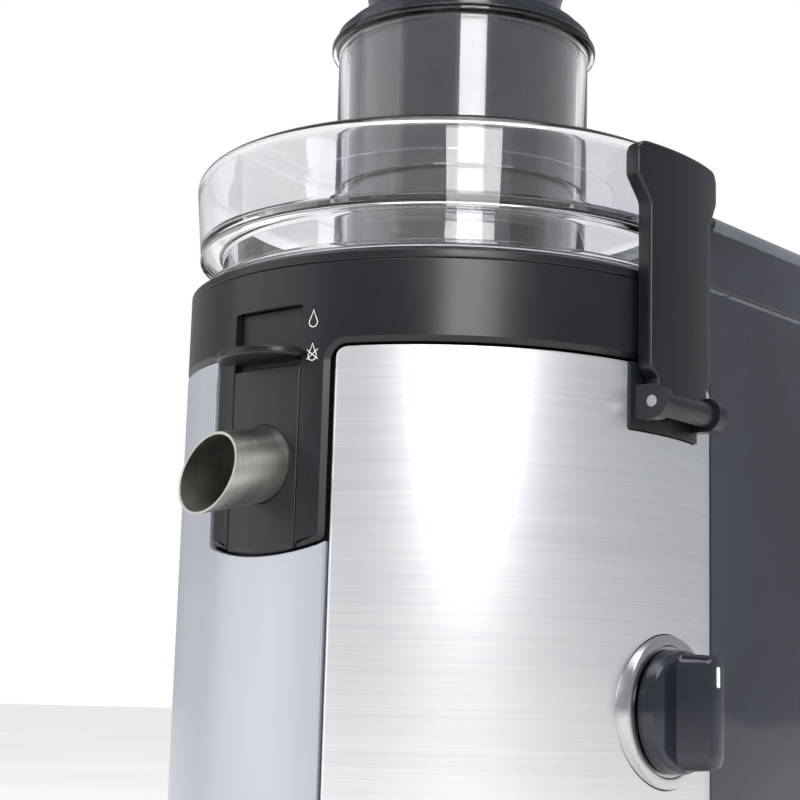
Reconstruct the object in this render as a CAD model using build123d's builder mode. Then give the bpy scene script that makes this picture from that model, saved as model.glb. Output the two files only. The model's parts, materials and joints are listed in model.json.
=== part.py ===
from build123d import *
import math
import os

# Centrifugal juicer. +Z is up, the origin is on the table under the drive shaft.
# The juice spout points to -X, the pulp container stands at +X and the dial faces -Y.

# Body
body_dia = 200.0
seam_height = 240.0
band_height = 28.4
band_chamfer = 1.9
skirt_wall = 2.4
foot_height = 6.0
foot_width = 12.0
trim_height = 20.0
cover_thick = 3.0
chassis_gap = 6.0
chassis_wall = 3.0
deck_thick = 3.5
deck_drop = 3.6
panel_gap = 0.6
panel_reveal = 1.3
panel_sheet = 1.0
panel_return = 4.6
panel_corner = 4.5
tongue_gap_angle = 1.15
rear_wall = 2.5
side_gap = 1.0

# Spout tongue, drip stop and spout
tongue_half_angle = 15.65
tongue_drop = 99.0
tongue_sag = 4.4
insert_half_angle = 9.25
insert_thick = 2.3
insert_gap = 0.25
window_top = 14.0
window_height = 20.7
spout_tube_dia = 26.0
spout_wall = 0.8
spout_tilt = 13.5
spout_drop = 68.3
spout_reach = 25.1
spout_slant = 0.56
spout_inset = 8.0
tab_overhang = 3.9
stem_margin = 1.9
plate_lead = 0.5
plate_margin = 0.7
tab_reach = 14.5
tab_thick = 3.0
tab_round = 0.9
tab_travel = 11.5
gate_thick = 1.6
plate_thick = 1.0
outlet_height = 8.0
duct_wall = 1.2
duct_depth = 10.5
seal_width = 1.6
seal_fit = 0.2

# Bowl, collar and lid
bowl_wall = 2.5
bowl_gap = 8.5
hub_wall_r = 28.0
hub_wall_height = 7.5
collar_height = 5.0
collar_step = 2.9
collar_taper = 4.0
seam_gap = 0.2
gasket_thick = 0.8
lid_wall = 2.5
rim_step = 5.0
lid_rim_height = 2.2
neck_step = 11.0
neck_height = 12.4
drum_height = 25.4
dome_rise = 6.0
lug_half_angle = 9.0
lug_reach = 4.2
lug_height = 10.0
lug_rise = 9.4
hood_wall = 2.5

# Feed chute and pusher
chute_dia = 99.8
chute_wall = 2.9
chute_offset = 5.0
chute_height = 112.0
chute_lip = 3.0
pusher_gap = 1.2
pusher_wall = 2.5
pusher_lip = 4.0
grip_height = 30.0
grip_dia = 84.0

# Basket
grater_r = 52.5
grater_thick = 1.2
tooth_height = 2.0
sieve_foot_r = 54.0
sieve_rim_r = 80.0
sieve_height = 22.0
sieve_wall = 0.8
basket_rim_height = 5.0
basket_rim_width = 4.0
hub_plate = 2.5
basket_gap = 1.5

# Clamps
clamp_width = 40.0
clamp_head_width = 53.0
clamp_half_angle = 25.0
clamp_thick = 6.0
clamp_gap = 1.6
clamp_pivot_drop = 44.0
clamp_pin_dia = 4.0
clamp_barrel_dia = 10.0
clamp_ear_width = 5.0
clamp_hook = 7.6
clamp_fit = 0.4

# Dial
dial_height = 92.0
dial_dia = 42.0
dial_depth = 18.0
dial_bezel_dia = 52.0
dial_bezel_proud = 1.5

# Pulp container and hood
container_depth = 112.0
container_width = 140.0
container_corner = 30.0
container_wall = 2.5
container_gap = 3.0
container_lip = 2.0

# Motor
shaft_dia = 8.0
bearing_dia = 22.0
bearing_width = 7.0
stator_r = 42.0
stator_height = 40.0
armature_r = 24.0
air_gap = 0.6
stator_base = 92.0
post_r = 8.0
post_height = 46.0
bracket_r = 50.0
bracket_thick = 10.0
fan_r = 38.0
fan_blades = 11
fan_height = 12.0
board_size = (60.0, 50.0)
inlet_dia = 16.0
inlet_height = 44.0
cord_bore = 7.0

# Fits
slide_fit = 0.3
running_fit = 0.05
panel_fit = 0.3

# Places worked out from the sizes above
body_r = body_dia / 2
duct_width = spout_tube_dia + 2 * (seal_width + duct_wall + seal_fit)
lid_rim_r = body_r - rim_step
neck_r = body_r - neck_step
container_reach = body_r + container_depth
window_sag = body_r * (1 - math.cos(math.radians(insert_half_angle)))
plate_half = body_r * math.sin(math.radians(insert_half_angle)) - plate_margin
pocket_half = max(duct_width / 2, plate_half + slide_fit) + slide_fit
panel_half_angle = 90 - tongue_half_angle - tongue_gap_angle
band_bottom = seam_height - band_height
panel_top = band_bottom - panel_reveal
trim_top = foot_height + trim_height
panel_bottom = trim_top + panel_gap
cover_top = foot_height + cover_thick
chassis_r = body_r - chassis_gap
deck_top = band_bottom - deck_drop
bowl_floor = deck_top + bowl_wall
bowl_r = body_r - bowl_gap
collar_top = seam_height + seam_gap + collar_height
lid_bottom = collar_top + gasket_thick
neck_top = lid_bottom + lid_rim_height + neck_height
drum_r = body_r - seam_gap
drum_top = neck_top + drum_height
dome_top = drum_top + dome_rise
chute_r = chute_dia / 2
bore_r = chute_r - chute_wall
window_z = seam_height - window_top
tab_z = window_z - window_height + tab_thick / 2 + 2.0
spout_z = seam_height - spout_drop
tongue_z = seam_height - tongue_drop
hub_z = bowl_floor + hub_wall_height + basket_gap
disc_z = hub_z + hub_plate
teeth_top = disc_z + grater_thick + tooth_height
sieve_top = disc_z + sieve_height
chute_bottom = teeth_top + 2 * basket_gap
chute_top = drum_top + chute_height - (drum_top - seam_height)
pusher_bottom = chute_bottom + basket_gap
pivot_z = seam_height - clamp_pivot_drop
clamp_r = body_r + clamp_gap
pivot_y = clamp_r + clamp_barrel_dia / 2 - 0.4
lug_z = neck_top + lug_rise
hook_z = lug_z + lug_height + clamp_fit
container_top = neck_top - container_lip
post_ring_r = chassis_r - chassis_wall - post_r + 1.0
post_places = PolarLocations(post_ring_r, 4, 45)

spout_dir = (-math.cos(math.radians(spout_tilt)), 0, -math.sin(math.radians(spout_tilt)))
spout_up = (-math.sin(math.radians(spout_tilt)), 0, math.cos(math.radians(spout_tilt)))


def sector(inner, outer, middle, half):
    """A ring sector centred on the angle middle, half degrees each way."""
    with BuildSketch() as shape:
        with BuildLine():
            far = CenterArc((0, 0), outer, middle - half, 2 * half)
            near = CenterArc((0, 0), inner, middle - half, 2 * half)
            Line(far @ 0, near @ 0)
            Line(far @ 1, near @ 1)
        make_face()
    return shape.sketch


def turned(points):
    """The solid that a closed outline of (radius, height) points sweeps about the Z axis."""
    with BuildPart() as solid:
        with BuildSketch(Plane.XZ):
            with BuildLine():
                Polyline(*points, close=True)
            make_face()
        revolve(axis=Axis.Z)
    return solid.part


def spout_plane(distance):
    """The plane square to the spout, its origin distance along the axis from the body's surface."""
    origin = Vector(-body_r, 0, spout_z) + Vector(*spout_dir) * distance
    return Plane(origin=origin, x_dir=(0, 1, 0), z_dir=spout_dir)


def finish(piece, name):
    piece.part.label = name
    export_step(piece.part, f"parts/{name}.step")


os.makedirs("parts", exist_ok=True)

# Base: foot ring, bottom cover with its screws, and the trim ring round them
foot_r = chassis_r - 2.0
with BuildPart() as foot_ring:
    with BuildSketch():
        Circle(foot_r)
        Circle(foot_r - foot_width, mode=Mode.SUBTRACT)
    extrude(amount=foot_height)
    with BuildSketch():
        Circle(foot_r - foot_width / 3)
        Circle(foot_r - 2 * foot_width / 3, mode=Mode.SUBTRACT)
    extrude(amount=foot_height / 4, mode=Mode.SUBTRACT)
finish(foot_ring, "foot_ring")

screw_r = 2.0
screw_head_r = 4.0
screw_head = 1.6
screw_length = 14.0
vent_count = 12
vent_length = 28.0
vent_width = 4.0
vent_ring_r = chassis_r / 2.3
with BuildPart() as base_cover:
    with BuildSketch(Plane.XY.offset(foot_height)):
        Circle(chassis_r)
        with PolarLocations(vent_ring_r, vent_count):
            SlotOverall(vent_length, vent_width, mode=Mode.SUBTRACT)
        with post_places:
            Circle(screw_r + slide_fit, mode=Mode.SUBTRACT)
    extrude(amount=cover_thick)
    with BuildSketch(Plane.XY.offset(foot_height)):
        with post_places:
            Circle(screw_head_r + slide_fit)
    extrude(amount=screw_head, mode=Mode.SUBTRACT)
finish(base_cover, "base_cover")

with BuildPart() as base_screws:
    with BuildSketch(Plane.XY.offset(foot_height)):
        with post_places:
            Circle(screw_head_r)
    extrude(amount=screw_head)
    with BuildSketch(Plane.XY.offset(foot_height + screw_head)):
        with post_places:
            Circle(screw_r)
    extrude(amount=screw_length)
finish(base_screws, "base_screws")

with BuildPart() as base_ring:
    with BuildSketch(Plane.XY.offset(foot_height)):
        Circle(body_r)
        Circle(chassis_r + panel_fit, mode=Mode.SUBTRACT)
    extrude(amount=trim_height)
    fillet(base_ring.edges().filter_by(GeomType.CIRCLE).group_by(Axis.Z)[0].sort_by(SortBy.LENGTH)[-1], 3)
finish(base_ring, "base_ring")


# Chassis: the inner frame with its deck, motor posts and the pocket for the juice duct
duct_front = -(body_r - insert_thick - running_fit * 2 - 2 * plate_thick - window_sag + plate_lead)
pocket_x = duct_front + duct_depth + 2 * duct_wall
pocket_z = spout_z - spout_tube_dia / 2 - 4.0
with BuildPart() as chassis:
    with BuildSketch(Plane.XY.offset(cover_top)):
        Circle(chassis_r)
        Circle(chassis_r - chassis_wall, mode=Mode.SUBTRACT)
    extrude(amount=deck_top - cover_top)
    with BuildSketch(Plane.XY.offset(deck_top - deck_thick)):
        Circle(chassis_r - chassis_wall / 2)
    extrude(amount=deck_thick)
    with BuildSketch(Plane.XY.offset(cover_top)):
        with post_places:
            Circle(post_r)
    extrude(amount=post_height)
    with BuildSketch(Plane.XY.offset(cover_top)):
        with post_places:
            Circle(screw_r)
    extrude(amount=screw_length, mode=Mode.SUBTRACT)
    with BuildSketch(Plane.XY.offset(pocket_z - chassis_wall)):
        with Locations((pocket_x + chassis_wall, 0)):
            Rectangle(body_r, 2 * (pocket_half + chassis_wall), align=(Align.MAX, Align.CENTER))
        Circle(chassis_r, mode=Mode.INTERSECT)
    extrude(amount=deck_top - pocket_z + chassis_wall)
    with BuildSketch(Plane.XY.offset(pocket_z)):
        with Locations((pocket_x, 0)):
            Rectangle(body_r, 2 * pocket_half, align=(Align.MAX, Align.CENTER))
    extrude(amount=deck_top - pocket_z + 1, mode=Mode.SUBTRACT)
    with BuildSketch(Plane.XY.offset(deck_top)):
        Circle(shaft_dia / 2 + 8)
    extrude(amount=-deck_thick, mode=Mode.SUBTRACT)
    with Locations(Plane(origin=(0, 0, dial_height), z_dir=(0, -1, 0))):
        Cylinder(4, 2 * body_r, align=(Align.CENTER, Align.CENTER, Align.MIN), mode=Mode.SUBTRACT)
    with Locations(Plane(origin=(0, 0, inlet_height), z_dir=(0, 1, 0))):
        Cylinder(inlet_dia / 2 - 2, 2 * body_r, align=(Align.CENTER, Align.CENTER, Align.MIN),
                 mode=Mode.SUBTRACT)
finish(chassis, "chassis")


# Outer skins: brushed steel front panel and plastic rear shell
ear_block_half = clamp_width / 2 + 1.5
ear_block_z = pivot_z - 9.0


def corner_cutter(angle, height, radius, side, turn):
    """The square corner left over outside a round corner, on the body's wall at an angle."""
    wall = Plane(origin=(0, 0, height), x_dir=(-math.sin(math.radians(angle)),
                 math.cos(math.radians(angle)), 0),
                 z_dir=(math.cos(math.radians(angle)), math.sin(math.radians(angle)), 0))
    with BuildPart() as cutter:
        with BuildSketch(wall.offset(body_r - 8)):
            with Locations((side * radius / 2, turn * radius / 2)):
                Rectangle(radius, radius)
            with Locations((side * radius, turn * radius)):
                Circle(radius, mode=Mode.SUBTRACT)
        extrude(amount=12)
    return cutter.part


def clamp_notch(sign, fit):
    """The notch in a skin for the clamp's ear block, at the front (-1) or rear (+1)."""
    with BuildPart() as notch:
        with BuildSketch(Plane.XY.offset(ear_block_z - fit)):
            with Locations((0, sign * body_r)):
                Rectangle(2 * (ear_block_half + fit), 20)
        extrude(amount=band_bottom - ear_block_z + fit + 2)
    return notch.part


def bent_sheet(middle, half, depth):
    """The section of a thin sheet bent round the body, with an edge turned in at each side."""
    with BuildSketch() as section:
        with BuildLine():
            arc = CenterArc((0, 0), body_r, middle - half, 2 * half)
            for end, angle in ((arc @ 0, middle - half), (arc @ 1, middle + half)):
                inner = Vector(1, 0).rotate(Axis.Z, angle) * (body_r - depth)
                Line(end, inner)
            corners = [v for v in vertices() if v.X ** 2 + v.Y ** 2 > (body_r - 0.1) ** 2]
            fillet(corners, 1.5 * panel_sheet)
            offset(amount=panel_sheet, side=Side.LEFT)
        make_face()
    return section.sketch


with BuildPart() as front_panel:
    with BuildSketch(Plane.XY.offset(panel_bottom)):
        add(bent_sheet(270, panel_half_angle, panel_return))
    extrude(amount=panel_top - panel_bottom)
    for side in (-1, 1):
        edge = 270 + side * panel_half_angle
        add(corner_cutter(edge, panel_top, panel_corner, -side, -1), mode=Mode.SUBTRACT)
    add(clamp_notch(-1, panel_fit), mode=Mode.SUBTRACT)
    with Locations(Plane(origin=(0, 0, dial_height), z_dir=(0, -1, 0))):
        Cylinder(dial_bezel_dia / 2 + panel_fit, 2 * body_r,
                 align=(Align.CENTER, Align.CENTER, Align.MIN), mode=Mode.SUBTRACT)
finish(front_panel, "front_panel")


def tongue_outline(grow, top, corner=2.5):
    """The tongue's outline seen from -X: straight sides and a bottom that sags in the middle."""
    half = body_r * math.sin(math.radians(tongue_half_angle)) + grow
    low = tongue_z - grow
    with BuildSketch(Plane.YZ) as outline:
        with BuildLine():
            ThreePointArc((-half, low + tongue_sag), (0, low), (half, low + tongue_sag))
            Polyline((half, low + tongue_sag), (half, top), (-half, top), (-half, low + tongue_sag))
        make_face()
        fillet(outline.vertices().group_by(Axis.Z)[0], corner)
    return outline.sketch


side_angle = math.degrees(side_gap / body_r)
rear_start = -90 + panel_half_angle + side_angle
rear_end = 270 - panel_half_angle - side_angle
with BuildPart() as rear_panel:
    with BuildSketch(Plane.XY.offset(panel_bottom)):
        add(sector(body_r - rear_wall, body_r, (rear_start + rear_end) / 2, (rear_end - rear_start) / 2))
    extrude(amount=panel_top + panel_gap - panel_bottom)
    add(clamp_notch(1, panel_fit), mode=Mode.SUBTRACT)
    extrude(tongue_outline(side_gap, seam_height), amount=-2 * body_r, mode=Mode.SUBTRACT)
    with Locations(Plane(origin=(0, 0, inlet_height), z_dir=(0, 1, 0))):
        Cylinder(inlet_dia / 2 + panel_fit, 2 * body_r,
                 align=(Align.CENTER, Align.CENTER, Align.MIN), mode=Mode.SUBTRACT)
finish(rear_panel, "rear_panel")


# Clamp ear blocks and pins, front and rear
def across(sign, shift=0.0):
    """A plane square to a clamp's pin, shifted along it; its x axis points out of the body."""
    return Plane(origin=(shift, sign * pivot_y, pivot_z), x_dir=(0, sign, 0), z_dir=(-sign, 0, 0))


clamp_barrel_half = clamp_width / 2 - clamp_ear_width - clamp_fit
with BuildPart() as clamp_ears:
    for sign in (-1, 1):
        with BuildSketch(Plane.XY.offset(ear_block_z)):
            add(sector(chassis_r + slide_fit, body_r + panel_sheet, sign * 90, 20))
            with Locations((0, sign * body_r)):
                Rectangle(2 * ear_block_half, 30, mode=Mode.INTERSECT)
        extrude(amount=panel_top - ear_block_z)
    for sign in (-1, 1):
        for side in (-1, 1):
            with BuildSketch(across(sign, side * (clamp_width - clamp_ear_width) / 2)):
                Circle(clamp_barrel_dia / 2 + 1)
                Rectangle(pivot_y - body_r + 2, clamp_barrel_dia + 2, align=(Align.MAX, Align.CENTER))
            extrude(amount=clamp_ear_width / 2, both=True)
            with BuildSketch(across(sign, side * (clamp_width - clamp_ear_width) / 2)):
                Circle(clamp_pin_dia / 2)
            extrude(amount=clamp_ear_width, both=True, mode=Mode.SUBTRACT)
finish(clamp_ears, "clamp_ears")

with BuildPart() as clamp_pins:
    for sign in (-1, 1):
        with BuildSketch(across(sign)):
            Circle(clamp_pin_dia / 2)
        extrude(amount=clamp_width / 2, both=True)
finish(clamp_pins, "clamp_pins")


# Clamps: a curved lever with a hook over the lid's lug
def clamp_outline():
    """The lever seen from outside: a narrow stem and a wide head with sloping shoulders."""
    with BuildSketch(Plane.XZ) as outline:
        shoulder = neck_top + 6
        with BuildLine():
            half = Polyline((0, pivot_z), (clamp_barrel_half, pivot_z),
                            (clamp_barrel_half, pivot_z + clamp_barrel_dia),
                            (clamp_width / 2, pivot_z + clamp_barrel_dia + 3),
                            (clamp_width / 2, shoulder), (clamp_head_width / 2, shoulder + 9),
                            (clamp_head_width / 2, hook_z + clamp_hook), (0, hook_z + clamp_hook))
            mirror(half, about=Plane.YZ)
        make_face()
        fillet(outline.vertices().group_by(Axis.Z)[-1], 5)
    return outline.sketch


with BuildPart() as front_clamp:
    with BuildSketch(Plane.XY.offset(pivot_z)):
        add(sector(clamp_r, clamp_r + clamp_thick, -90, clamp_half_angle))
    extrude(amount=hook_z - pivot_z)
    with BuildSketch(Plane.XY.offset(hook_z)):
        add(sector(drum_r + clamp_fit, clamp_r + clamp_thick, -90, clamp_half_angle))
    extrude(amount=clamp_hook)
    extrude(clamp_outline(), amount=2 * body_r, both=True, mode=Mode.INTERSECT)
    with BuildSketch(Plane.XY.offset(lug_z - clamp_fit)):
        add(sector(drum_r, drum_r + lug_reach + clamp_fit, -90, lug_half_angle + clamp_fit))
    extrude(amount=lug_height + 2 * clamp_fit, mode=Mode.SUBTRACT)
    with BuildSketch(across(-1)):
        Circle(clamp_barrel_dia / 2)
    extrude(amount=clamp_barrel_half, both=True)
    with BuildSketch(across(-1)):
        Circle(clamp_pin_dia / 2 + running_fit)
    extrude(amount=clamp_width, both=True, mode=Mode.SUBTRACT)
finish(front_clamp, "front_clamp")

with BuildPart() as rear_clamp:
    add(mirror(front_clamp.part, about=Plane.XZ, mode=Mode.PRIVATE))
finish(rear_clamp, "rear_clamp")

# Juice collector: the bowl under the basket, the black band round it and the tongue below
with BuildPart() as tongue:
    with BuildSketch(Plane.XY.offset(tongue_z - 1)):
        add(sector(chassis_r + slide_fit + 0.2, body_r, 180, tongue_half_angle))
    extrude(amount=band_bottom + 2 * band_chamfer - tongue_z + 1)
    extrude(tongue_outline(0, seam_height), amount=-2 * body_r, mode=Mode.INTERSECT)

outlet_half = duct_width / 2 - 4.0
window_bottom = window_z - window_height
bowl_in = bowl_r - bowl_wall
skirt_in = body_r - skirt_wall
with BuildPart() as collector_bowl:
    add(turned([(bowl_r, seam_height), (bowl_in, seam_height), (bowl_in, bowl_floor),
                (hub_wall_r, bowl_floor), (hub_wall_r, bowl_floor + hub_wall_height),
                (hub_wall_r - bowl_wall, bowl_floor + hub_wall_height),
                (hub_wall_r - bowl_wall, deck_top), (bowl_r, deck_top)]))
    with BuildSketch(Plane.YZ.offset(-bowl_r - 1)):
        with Locations((0, bowl_floor)):
            Rectangle(2 * outlet_half, outlet_height, align=(Align.CENTER, Align.MIN))
    extrude(amount=2 * bowl_wall, mode=Mode.SUBTRACT)
finish(collector_bowl, "collector_bowl")

with BuildPart() as juice_collector:
    add(turned([(skirt_in, band_bottom), (body_r - band_chamfer, band_bottom),
                (body_r, band_bottom + band_chamfer), (body_r, seam_height), (bowl_r, seam_height),
                (bowl_r, seam_height - skirt_wall), (skirt_in, seam_height - skirt_wall)]))
    add(tongue.part)
    with BuildSketch(Plane.XY.offset(tongue_z - 1)):
        add(sector(body_r - insert_thick - insert_gap, body_r + 1, 180, insert_half_angle))
    extrude(amount=window_bottom - tongue_z + 1, mode=Mode.SUBTRACT)
    with BuildSketch(Plane.XY.offset(window_bottom)):
        add(sector(chassis_r - 1, body_r + 1, 180, insert_half_angle))
    extrude(amount=window_height, mode=Mode.SUBTRACT)
    with BuildSketch(Plane.XY.offset(pocket_z)):
        with Locations((-body_r, 0)):
            Rectangle(4 * chassis_gap, 2 * pocket_half)
    extrude(amount=deck_top - pocket_z, mode=Mode.SUBTRACT)
    with BuildSketch(Plane.XY.offset(deck_top)):
        add(sector(bowl_r, skirt_in, 180, tongue_half_angle + 1))
    extrude(amount=band_bottom + 2 * band_chamfer - deck_top, mode=Mode.SUBTRACT)
finish(juice_collector, "juice_collector")

# Spout cover: the strip set into the tongue, with the hole for the spout
with BuildPart() as spout_cover:
    with BuildSketch(Plane.XY.offset(tongue_z - 1)):
        fit_angle = math.degrees(insert_gap / body_r)
        add(sector(body_r - insert_thick, body_r, 180, insert_half_angle - fit_angle))
    extrude(amount=window_bottom - insert_gap - tongue_z + 1)
    extrude(tongue_outline(0, seam_height), amount=-2 * body_r, mode=Mode.INTERSECT)
    with BuildSketch(spout_plane(-spout_inset)):
        Circle(spout_tube_dia / 2 + running_fit)
    extrude(amount=4 * spout_inset, mode=Mode.SUBTRACT)
finish(spout_cover, "spout_cover")

# Juice duct: the channel behind the cover that leads from the gate down to the spout
duct_z = pocket_z + slide_fit
with BuildPart() as juice_duct:
    with BuildSketch(Plane.XY.offset(duct_z)):
        with Locations((duct_front, 0)):
            Rectangle(duct_depth, duct_width, align=(Align.MIN, Align.CENTER))
    extrude(amount=window_bottom - duct_z)
    with BuildSketch(Plane.XY.offset(duct_z + duct_wall)):
        with Locations((duct_front + duct_wall, 0)):
            Rectangle(duct_depth - 2 * duct_wall, duct_width - 2 * duct_wall,
                      align=(Align.MIN, Align.CENTER))
    extrude(amount=deck_top - duct_z, mode=Mode.SUBTRACT)
    with BuildSketch(spout_plane(-spout_inset - 4)):
        Circle(spout_tube_dia / 2 + running_fit)
    extrude(amount=3 * spout_inset, mode=Mode.SUBTRACT)
finish(juice_duct, "juice_duct")

# Spout: a steel tube cut off at a slant, and the seal round its inner end
spout_r = spout_tube_dia / 2
with BuildPart() as spout_tube:
    with BuildSketch(spout_plane(-spout_inset)):
        Circle(spout_r)
        Circle(spout_r - spout_wall, mode=Mode.SUBTRACT)
    extrude(amount=spout_inset + spout_reach + spout_r)
    slant = (Vector(*spout_dir) + Vector(*spout_up) * spout_slant).normalized()
    tip = spout_plane(spout_reach).origin
    split(bisect_by=Plane(origin=tip, z_dir=slant), keep=Keep.BOTTOM)
finish(spout_tube, "spout_tube")

with BuildPart() as spout_seal:
    with BuildSketch(spout_plane(-2 * spout_inset)):
        Circle(spout_r + seal_width)
        Circle(spout_r + running_fit, mode=Mode.SUBTRACT)
    extrude(amount=2 * spout_inset)
    with BuildSketch(Plane.XY.offset(spout_z - 2 * spout_r)):
        with Locations((duct_front + duct_wall, 0)):
            Rectangle(seal_width, 4 * spout_r, align=(Align.MIN, Align.CENTER))
    extrude(amount=4 * spout_r, mode=Mode.INTERSECT)
finish(spout_seal, "spout_seal")

# Drip stop: the finger tab, the plate that fills its window and the sluice gate behind
stem_half = min(duct_width / 2, plate_half + plate_margin) - stem_margin
gate_x = -(bowl_r + 0.9)
with BuildPart() as slide_tab:
    with BuildSketch(Plane.XY.offset(tab_z - tab_thick / 2)):
        with Locations((-body_r, 0)):
            Ellipse(tab_reach, stem_half + tab_overhang)
        Circle(body_r + slide_fit, mode=Mode.SUBTRACT)
        with Locations((gate_x - gate_thick, 0)):
            Rectangle(body_r + 2 + gate_x - gate_thick, 2 * stem_half, align=(Align.MAX, Align.CENTER))
    extrude(amount=tab_thick)
    fillet(slide_tab.edges().filter_by(GeomType.ELLIPSE), tab_round)
finish(slide_tab, "slide_tab")

slide_top = seam_height - skirt_wall - tab_travel - slide_fit
with BuildPart() as slide_plate:
    with BuildSketch(Plane.XY.offset(window_bottom - tab_travel)):
        with Locations((duct_front - 0.4, 0)):
            Rectangle(plate_thick, 2 * plate_half, align=(Align.MAX, Align.CENTER))
    extrude(amount=slide_top - window_bottom + tab_travel)
    with BuildSketch(Plane.XY.offset(tab_z - tab_thick / 2)):
        with Locations((-body_r, 0)):
            Rectangle(4 * chassis_gap, 2 * stem_half)
    extrude(amount=tab_thick, mode=Mode.SUBTRACT)
finish(slide_plate, "slide_plate")

with BuildPart() as gate_plate:
    with BuildSketch(Plane.XY.offset(bowl_floor - bowl_wall - 1)):
        with Locations((gate_x, 0)):
            Rectangle(gate_thick, 2 * stem_half, align=(Align.MAX, Align.CENTER))
    extrude(amount=slide_top - bowl_floor + bowl_wall + 1)
finish(gate_plate, "gate_plate")

# Collar ring on the bowl, and the lid's seal
with BuildPart() as collar_ring:
    low = seam_height + seam_gap
    add(turned([(body_r, low), (body_r, low + collar_step),
                (body_r - collar_taper, collar_top), (bowl_in, collar_top), (bowl_in, low)]))
finish(collar_ring, "collar_ring")

with BuildPart() as lid_gasket:
    with BuildSketch(Plane.XY.offset(collar_top)):
        Circle(lid_rim_r - 0.5)
        Circle(bowl_in + slide_fit, mode=Mode.SUBTRACT)
    extrude(amount=gasket_thick)
finish(lid_gasket, "lid_gasket")

# Lid: flat rim and neck, then a wide drum and domed top with lugs for the clamps and a window to the hood
neck_in = neck_r - lid_wall
rim_top = lid_bottom + lid_rim_height
with BuildPart() as lid_rim:
    with BuildSketch(Plane.XY.offset(lid_bottom)):
        Circle(lid_rim_r)
        Circle(neck_in, mode=Mode.SUBTRACT)
    extrude(amount=lid_rim_height)
finish(lid_rim, "lid_rim")

with BuildPart() as lid_neck:
    with BuildSketch(Plane.XY.offset(rim_top)):
        Circle(neck_r)
        Circle(neck_in, mode=Mode.SUBTRACT)
    extrude(amount=neck_top - rim_top)
finish(lid_neck, "lid_neck")

window_half = container_width / 2 - container_corner
window_depth = 34.0
window_x = drum_r - window_depth / 4
chute_place = Location((chute_offset, 0, 0))
with BuildPart() as lid:
    dome_r = drum_r - dome_rise
    with BuildSketch(Plane.XZ):
        with BuildLine():
            Polyline((neck_in, neck_top + lid_wall), (neck_in, neck_top), (drum_r, neck_top),
                     (drum_r, drum_top))
            RadiusArc((drum_r, drum_top), (dome_r, dome_top), -dome_rise)
            Polyline((dome_r, dome_top), (0, dome_top), (0, dome_top - lid_wall),
                     (dome_r, dome_top - lid_wall))
            RadiusArc((dome_r, dome_top - lid_wall), (drum_r - lid_wall, drum_top), dome_rise - lid_wall)
            Polyline((drum_r - lid_wall, drum_top), (drum_r - lid_wall, neck_top + lid_wall),
                     (neck_in, neck_top + lid_wall))
        make_face()
    revolve(axis=Axis.Z)
    with BuildSketch(Plane.XY.offset(dome_top)):
        with Locations(chute_place):
            Circle(chute_r + running_fit)
    extrude(amount=-2 * lid_wall, mode=Mode.SUBTRACT)
    with BuildSketch(Plane.XY.offset(lug_z)):
        for sign in (-1, 1):
            add(sector(drum_r - lid_wall / 2, drum_r + lug_reach, sign * 90, lug_half_angle))
    extrude(amount=lug_height)
    with BuildSketch(Plane.XY.offset(neck_top + lid_wall)):
        with Locations((window_x, 0)):
            Rectangle(window_depth, 2 * window_half)
    extrude(amount=drum_height - 2 * lid_wall, mode=Mode.SUBTRACT)
finish(lid, "lid")

with BuildPart() as feed_chute:
    with BuildSketch(Plane.XY.offset(chute_bottom)):
        with Locations(chute_place):
            Circle(chute_r)
            Circle(bore_r, mode=Mode.SUBTRACT)
    extrude(amount=chute_top - chute_bottom)
    with BuildSketch(Plane.XY.offset(chute_top - chute_lip)):
        with Locations(chute_place):
            Circle(chute_r + chute_lip)
            Circle(bore_r, mode=Mode.SUBTRACT)
    extrude(amount=chute_lip)
    fillet(feed_chute.edges().filter_by(GeomType.CIRCLE).group_by(Axis.Z)[-1], 0.9)
finish(feed_chute, "feed_chute")


# Pulp hood on the lid's side and the container under it
def container_outline(shrink, inner_r):
    """The container's outline: round outer corners and a hollow side that wraps round the body."""
    with BuildSketch() as outline:
        reach = container_reach - shrink
        half = container_width / 2 - shrink
        Rectangle(reach, 2 * half, align=(Align.MIN, Align.CENTER))
        fillet(outline.vertices().group_by(Axis.X)[-1], container_corner - shrink)
        Circle(inner_r + shrink, mode=Mode.SUBTRACT)
    return outline.sketch.faces().sort_by(Axis.X)[-1]


hood_low = container_top + container_lip
with BuildPart() as pulp_hood:
    with BuildSketch(Plane.XY.offset(hood_low)):
        add(container_outline(0, drum_r))
    extrude(amount=dome_top - hood_low)
    with BuildSketch(Plane.XY.offset(hood_low)):
        add(container_outline(hood_wall, drum_r))
    extrude(amount=dome_top - hood_low - hood_wall, mode=Mode.SUBTRACT)
    with BuildSketch(Plane.XY.offset(neck_top + lid_wall)):
        with Locations((window_x, 0)):
            Rectangle(window_depth, 2 * window_half)
    extrude(amount=drum_height - 2 * lid_wall, mode=Mode.SUBTRACT)
finish(pulp_hood, "pulp_hood")

with BuildPart() as pulp_container:
    outer_r = body_r + container_gap
    with BuildSketch():
        add(container_outline(0, outer_r))
    extrude(amount=container_top)
    with BuildSketch(Plane.XY.offset(container_wall)):
        add(container_outline(container_wall, outer_r))
    extrude(amount=container_top, mode=Mode.SUBTRACT)
finish(pulp_container, "pulp_container")

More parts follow.
